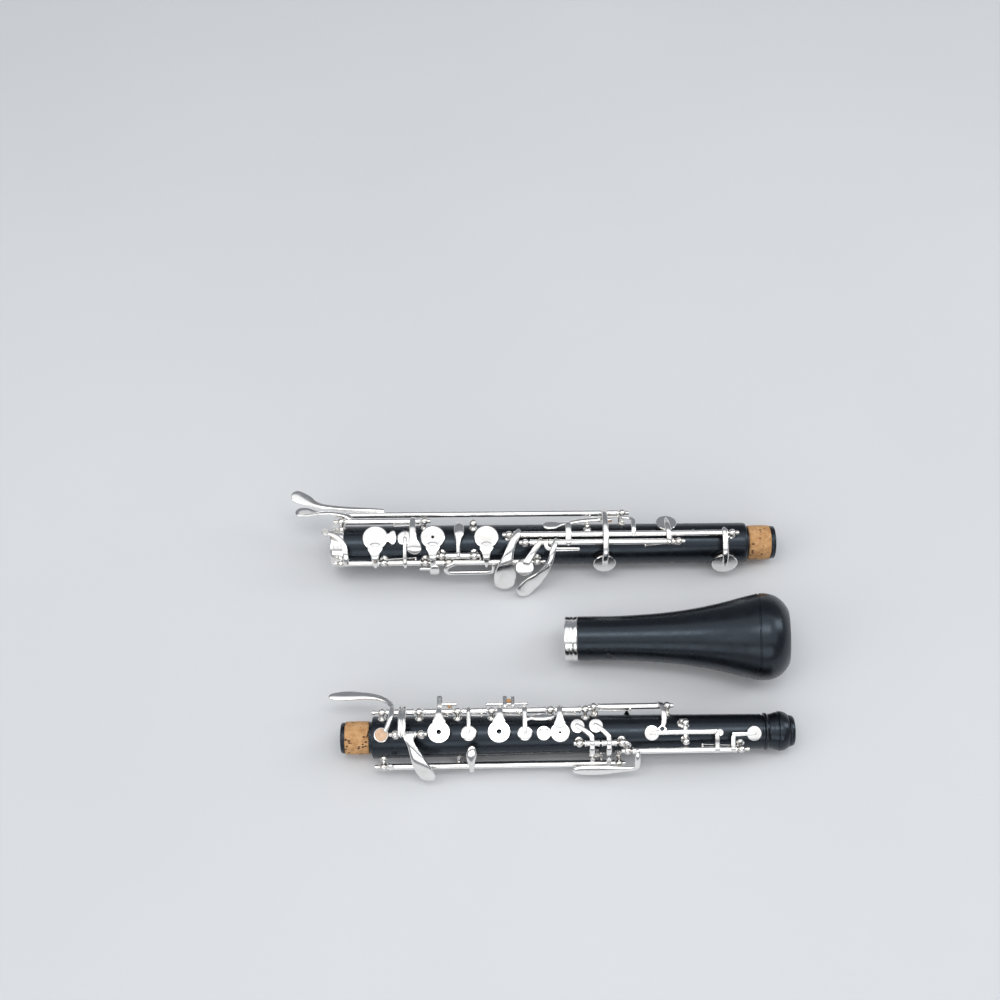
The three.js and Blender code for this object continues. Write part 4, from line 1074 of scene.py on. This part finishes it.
def build_octave_keys():
    pin_u = 181
    surface = upper_radius(pin_u)
    pin, ends = cross_pin(pin_u, (-3.4, 40.9), 13, surface, 2)
    stop_post = post(pin_u - 1.6, (-9, 12.2), surface, 1.5)
    replace("octave_rocker_pivot", "upper", [*pin, stop_post], STEEL)
    key("octave_rocker", "upper", [
        barrel(ends, 2.6),
        dome(*FIRST_OCTAVE, 12.9, 3.9, 0.3),
        loft([[162, 20.5, 13.3, 0.8], [166, 20, 13.5, 1.1], [174, 19, 13.7, 1.2], [181, 18.7, 14.2, 1.25],
              [190, 19, 13.6, 1.2], [199.5, 19, 12.8, 1.4]], 1, crown=0.1),
        raised([(11.2, 0), (11.2, 1.9), (13.9, 1.9), (14.1, 1.7), (14.1, 1.35), (13.3, 1.25),
                (13.3, 0.6), (13.7, 0.5), (13.7, 0)], 198.6, 21, 28),
    ])
    key("thumb_octave_key", "upper", [
        tube(ROD_O, 136.1, 170.1),
        loft([[168, -68, 15.2, 0.8], [168.4, -60, 16.2, 1.3], [169.2, -46, 16.4, 1.35],
              [169.8, -30, 15.2, 1.3], [170, -12, 13.4, 1.3], [169.4, 2, 12.2, 1.3],
              [168.6, 11, 11.6, 1.3]], 0.9, crown=0.1),
        loft([[152, -66, 14.8, 0.8], [152, -94, 13, 0.9], [152, -112, 12, 2.5], [152, -130, 11.3, 4.5],
              [152, -165, 11, 5]], 1),
    ])
    u, phi = 168.5, 12
    profile = [(12, 0), (12, 2.5), (14.9, 2.5), (15.1, 2.3), (15.1, 1.7), (13.6, 1.6), (13.6, 0)]
    knob = raised(profile, u, phi, 4)
    make("thumb_octave_screw", "upper", [knob], STEEL, "thumb_octave_key")
    # A black resin disc on the floor of the knob's recess: painted shade standing in for a deep dark bore.
    bore_shade_disc = cylinder(at(u, phi, 13.5), at(u, phi, 13.75), 1.35)
    make("thumb_octave_screw_shade_disc", "upper", [bore_shade_disc], RESIN, "thumb_octave_key")
    key("side_octave_key", "upper", [
        tube(ROD_S, 153, 207.3),
        loft([[155.6, 52, 15.6, 1.2], [155.6, 60, 16.6, 1.4], [155.6, 74, 17.8, 1.5],
              [155.4, 86, 18.8, 1.5], [152.6, 92, 19.2, 1.5, 1.2, 72], [146, 94.5, 19.2, 2, 1.2, 62],
              [137, 96, 19.3, 2.9, 1.2, 58], [129, 97, 19.2, 3, 1.2, 58],
              [121.8, 98, 18.9, 1.8, 1.2, 58]], 1.2, crown=0.4),
        loft([[197, 64, 15.2, 1], [197, 56, 16.2, 1.3], [197, 40, 15.6, 1.2], [197, 22, 15.3, 1.2]], 1),
        loft([[205.4, 62, 15.4, 1], [205.4, 54, 16, 1.2], [205.4, 40, 14.7, 1.2],
              [205.6, 28, 14.1, 1.2]], 1, ends=(1, 0.2)),
        loft([[204.8, 25.5, 14.1, 1.2], [211, 25, 13.7, 1.1],
              [217.6, 24.6, 13.3, 0.8]], 1, crown=0.1, ends=(0.2, 1)),
        dome(*SECOND_OCTAVE, 12.9, 3.9, 0.25),
    ])


# ---- Setting ----
def build_floor():
    bpy.ops.mesh.primitive_plane_add(size=12)
    floor = bpy.context.object
    floor.name = "floor"
    low, _ = CAD_BOX
    floor.location.z = low.z
    m = Nodes("pale_floor", Roughness=0.9)
    m.colour(m.noise(3), [(0.3, (0.62, 0.63, 0.645)), (0.7, (0.65, 0.66, 0.675))])
    floor.data.materials.append(m.material)


def softbox(name, place, size, watts, colour=(1, 1, 1)):
    """A rectangular lamp that faces the middle of the frame."""
    data = bpy.data.lights.new(name, "AREA")
    data.shape = "RECTANGLE"
    data.size, data.size_y = size
    data.energy = watts
    data.color = colour
    lamp = bpy.data.objects.new(name, data)
    lamp.location = place
    lamp.rotation_euler = (LIGHT_AIM - Vector(place)).to_track_quat("-Z", "Y").to_euler()
    bpy.context.scene.collection.objects.link(lamp)


def build_light():
    world = bpy.data.worlds.new("studio")
    world.use_nodes = True
    background = world.node_tree.nodes["Background"]
    background.inputs["Color"].default_value = (0.86, 0.91, 1.0, 1)
    background.inputs["Strength"].default_value = 0.26
    bpy.context.scene.world = world
    softbox("overhead", (0.0, -0.1, 1.5), (3.4, 2.4), 21)
    softbox("key", (0.0, -0.1, 1.45), (1.2, 0.35), 5)
    softbox("front", (0.0, -1.5, 0.75), (1.8, 0.7), 6)
    softbox("left", (-1.3, -0.5, 1.0), (0.8, 0.8), 4, (1.0, 0.98, 0.95))
    softbox("right", (1.3, 0.3, 0.9), (0.5, 0.9), 5, (0.95, 0.98, 1.0))
    bpy.context.scene.view_settings.view_transform = "Standard"


def build_camera():
    """The camera: in front of the layout, looking down at it, rolled a little."""
    elevation, roll = 61 * DEG, 0.95 * DEG
    place = (PLACES["upper"][0] + np.array([86.1, -266.3, 737.8])) * MM
    look = np.array([0, math.cos(elevation), -math.sin(elevation)])
    rise = np.array([0, math.sin(elevation), math.cos(elevation)])
    right = math.cos(roll) * X_AXIS - math.sin(roll) * rise
    up = math.sin(roll) * X_AXIS + math.cos(roll) * rise
    data = bpy.data.cameras.new("camera")
    data.lens = 52.6
    data.clip_start, data.clip_end = 0.01, 50
    camera = bpy.data.objects.new("camera", data)
    columns = np.array([right, up, -look]).T
    camera.matrix_world = Matrix.Translation(Vector(place)) @ Matrix(columns.tolist()).to_4x4()
    bpy.context.scene.collection.objects.link(camera)
    bpy.context.scene.camera = camera


build_lower_body()
build_lower_rods()
build_right_hand_stack()
build_left_hand_levers()
build_foot_keys()
build_lower_rocker()
build_thumb_rest()
build_bell()
build_upper_body()
build_upper_rods()
build_left_hand_stack()
build_g_sharp()
build_trill_keys()
build_octave_keys()
build_floor()
build_light()
build_camera()
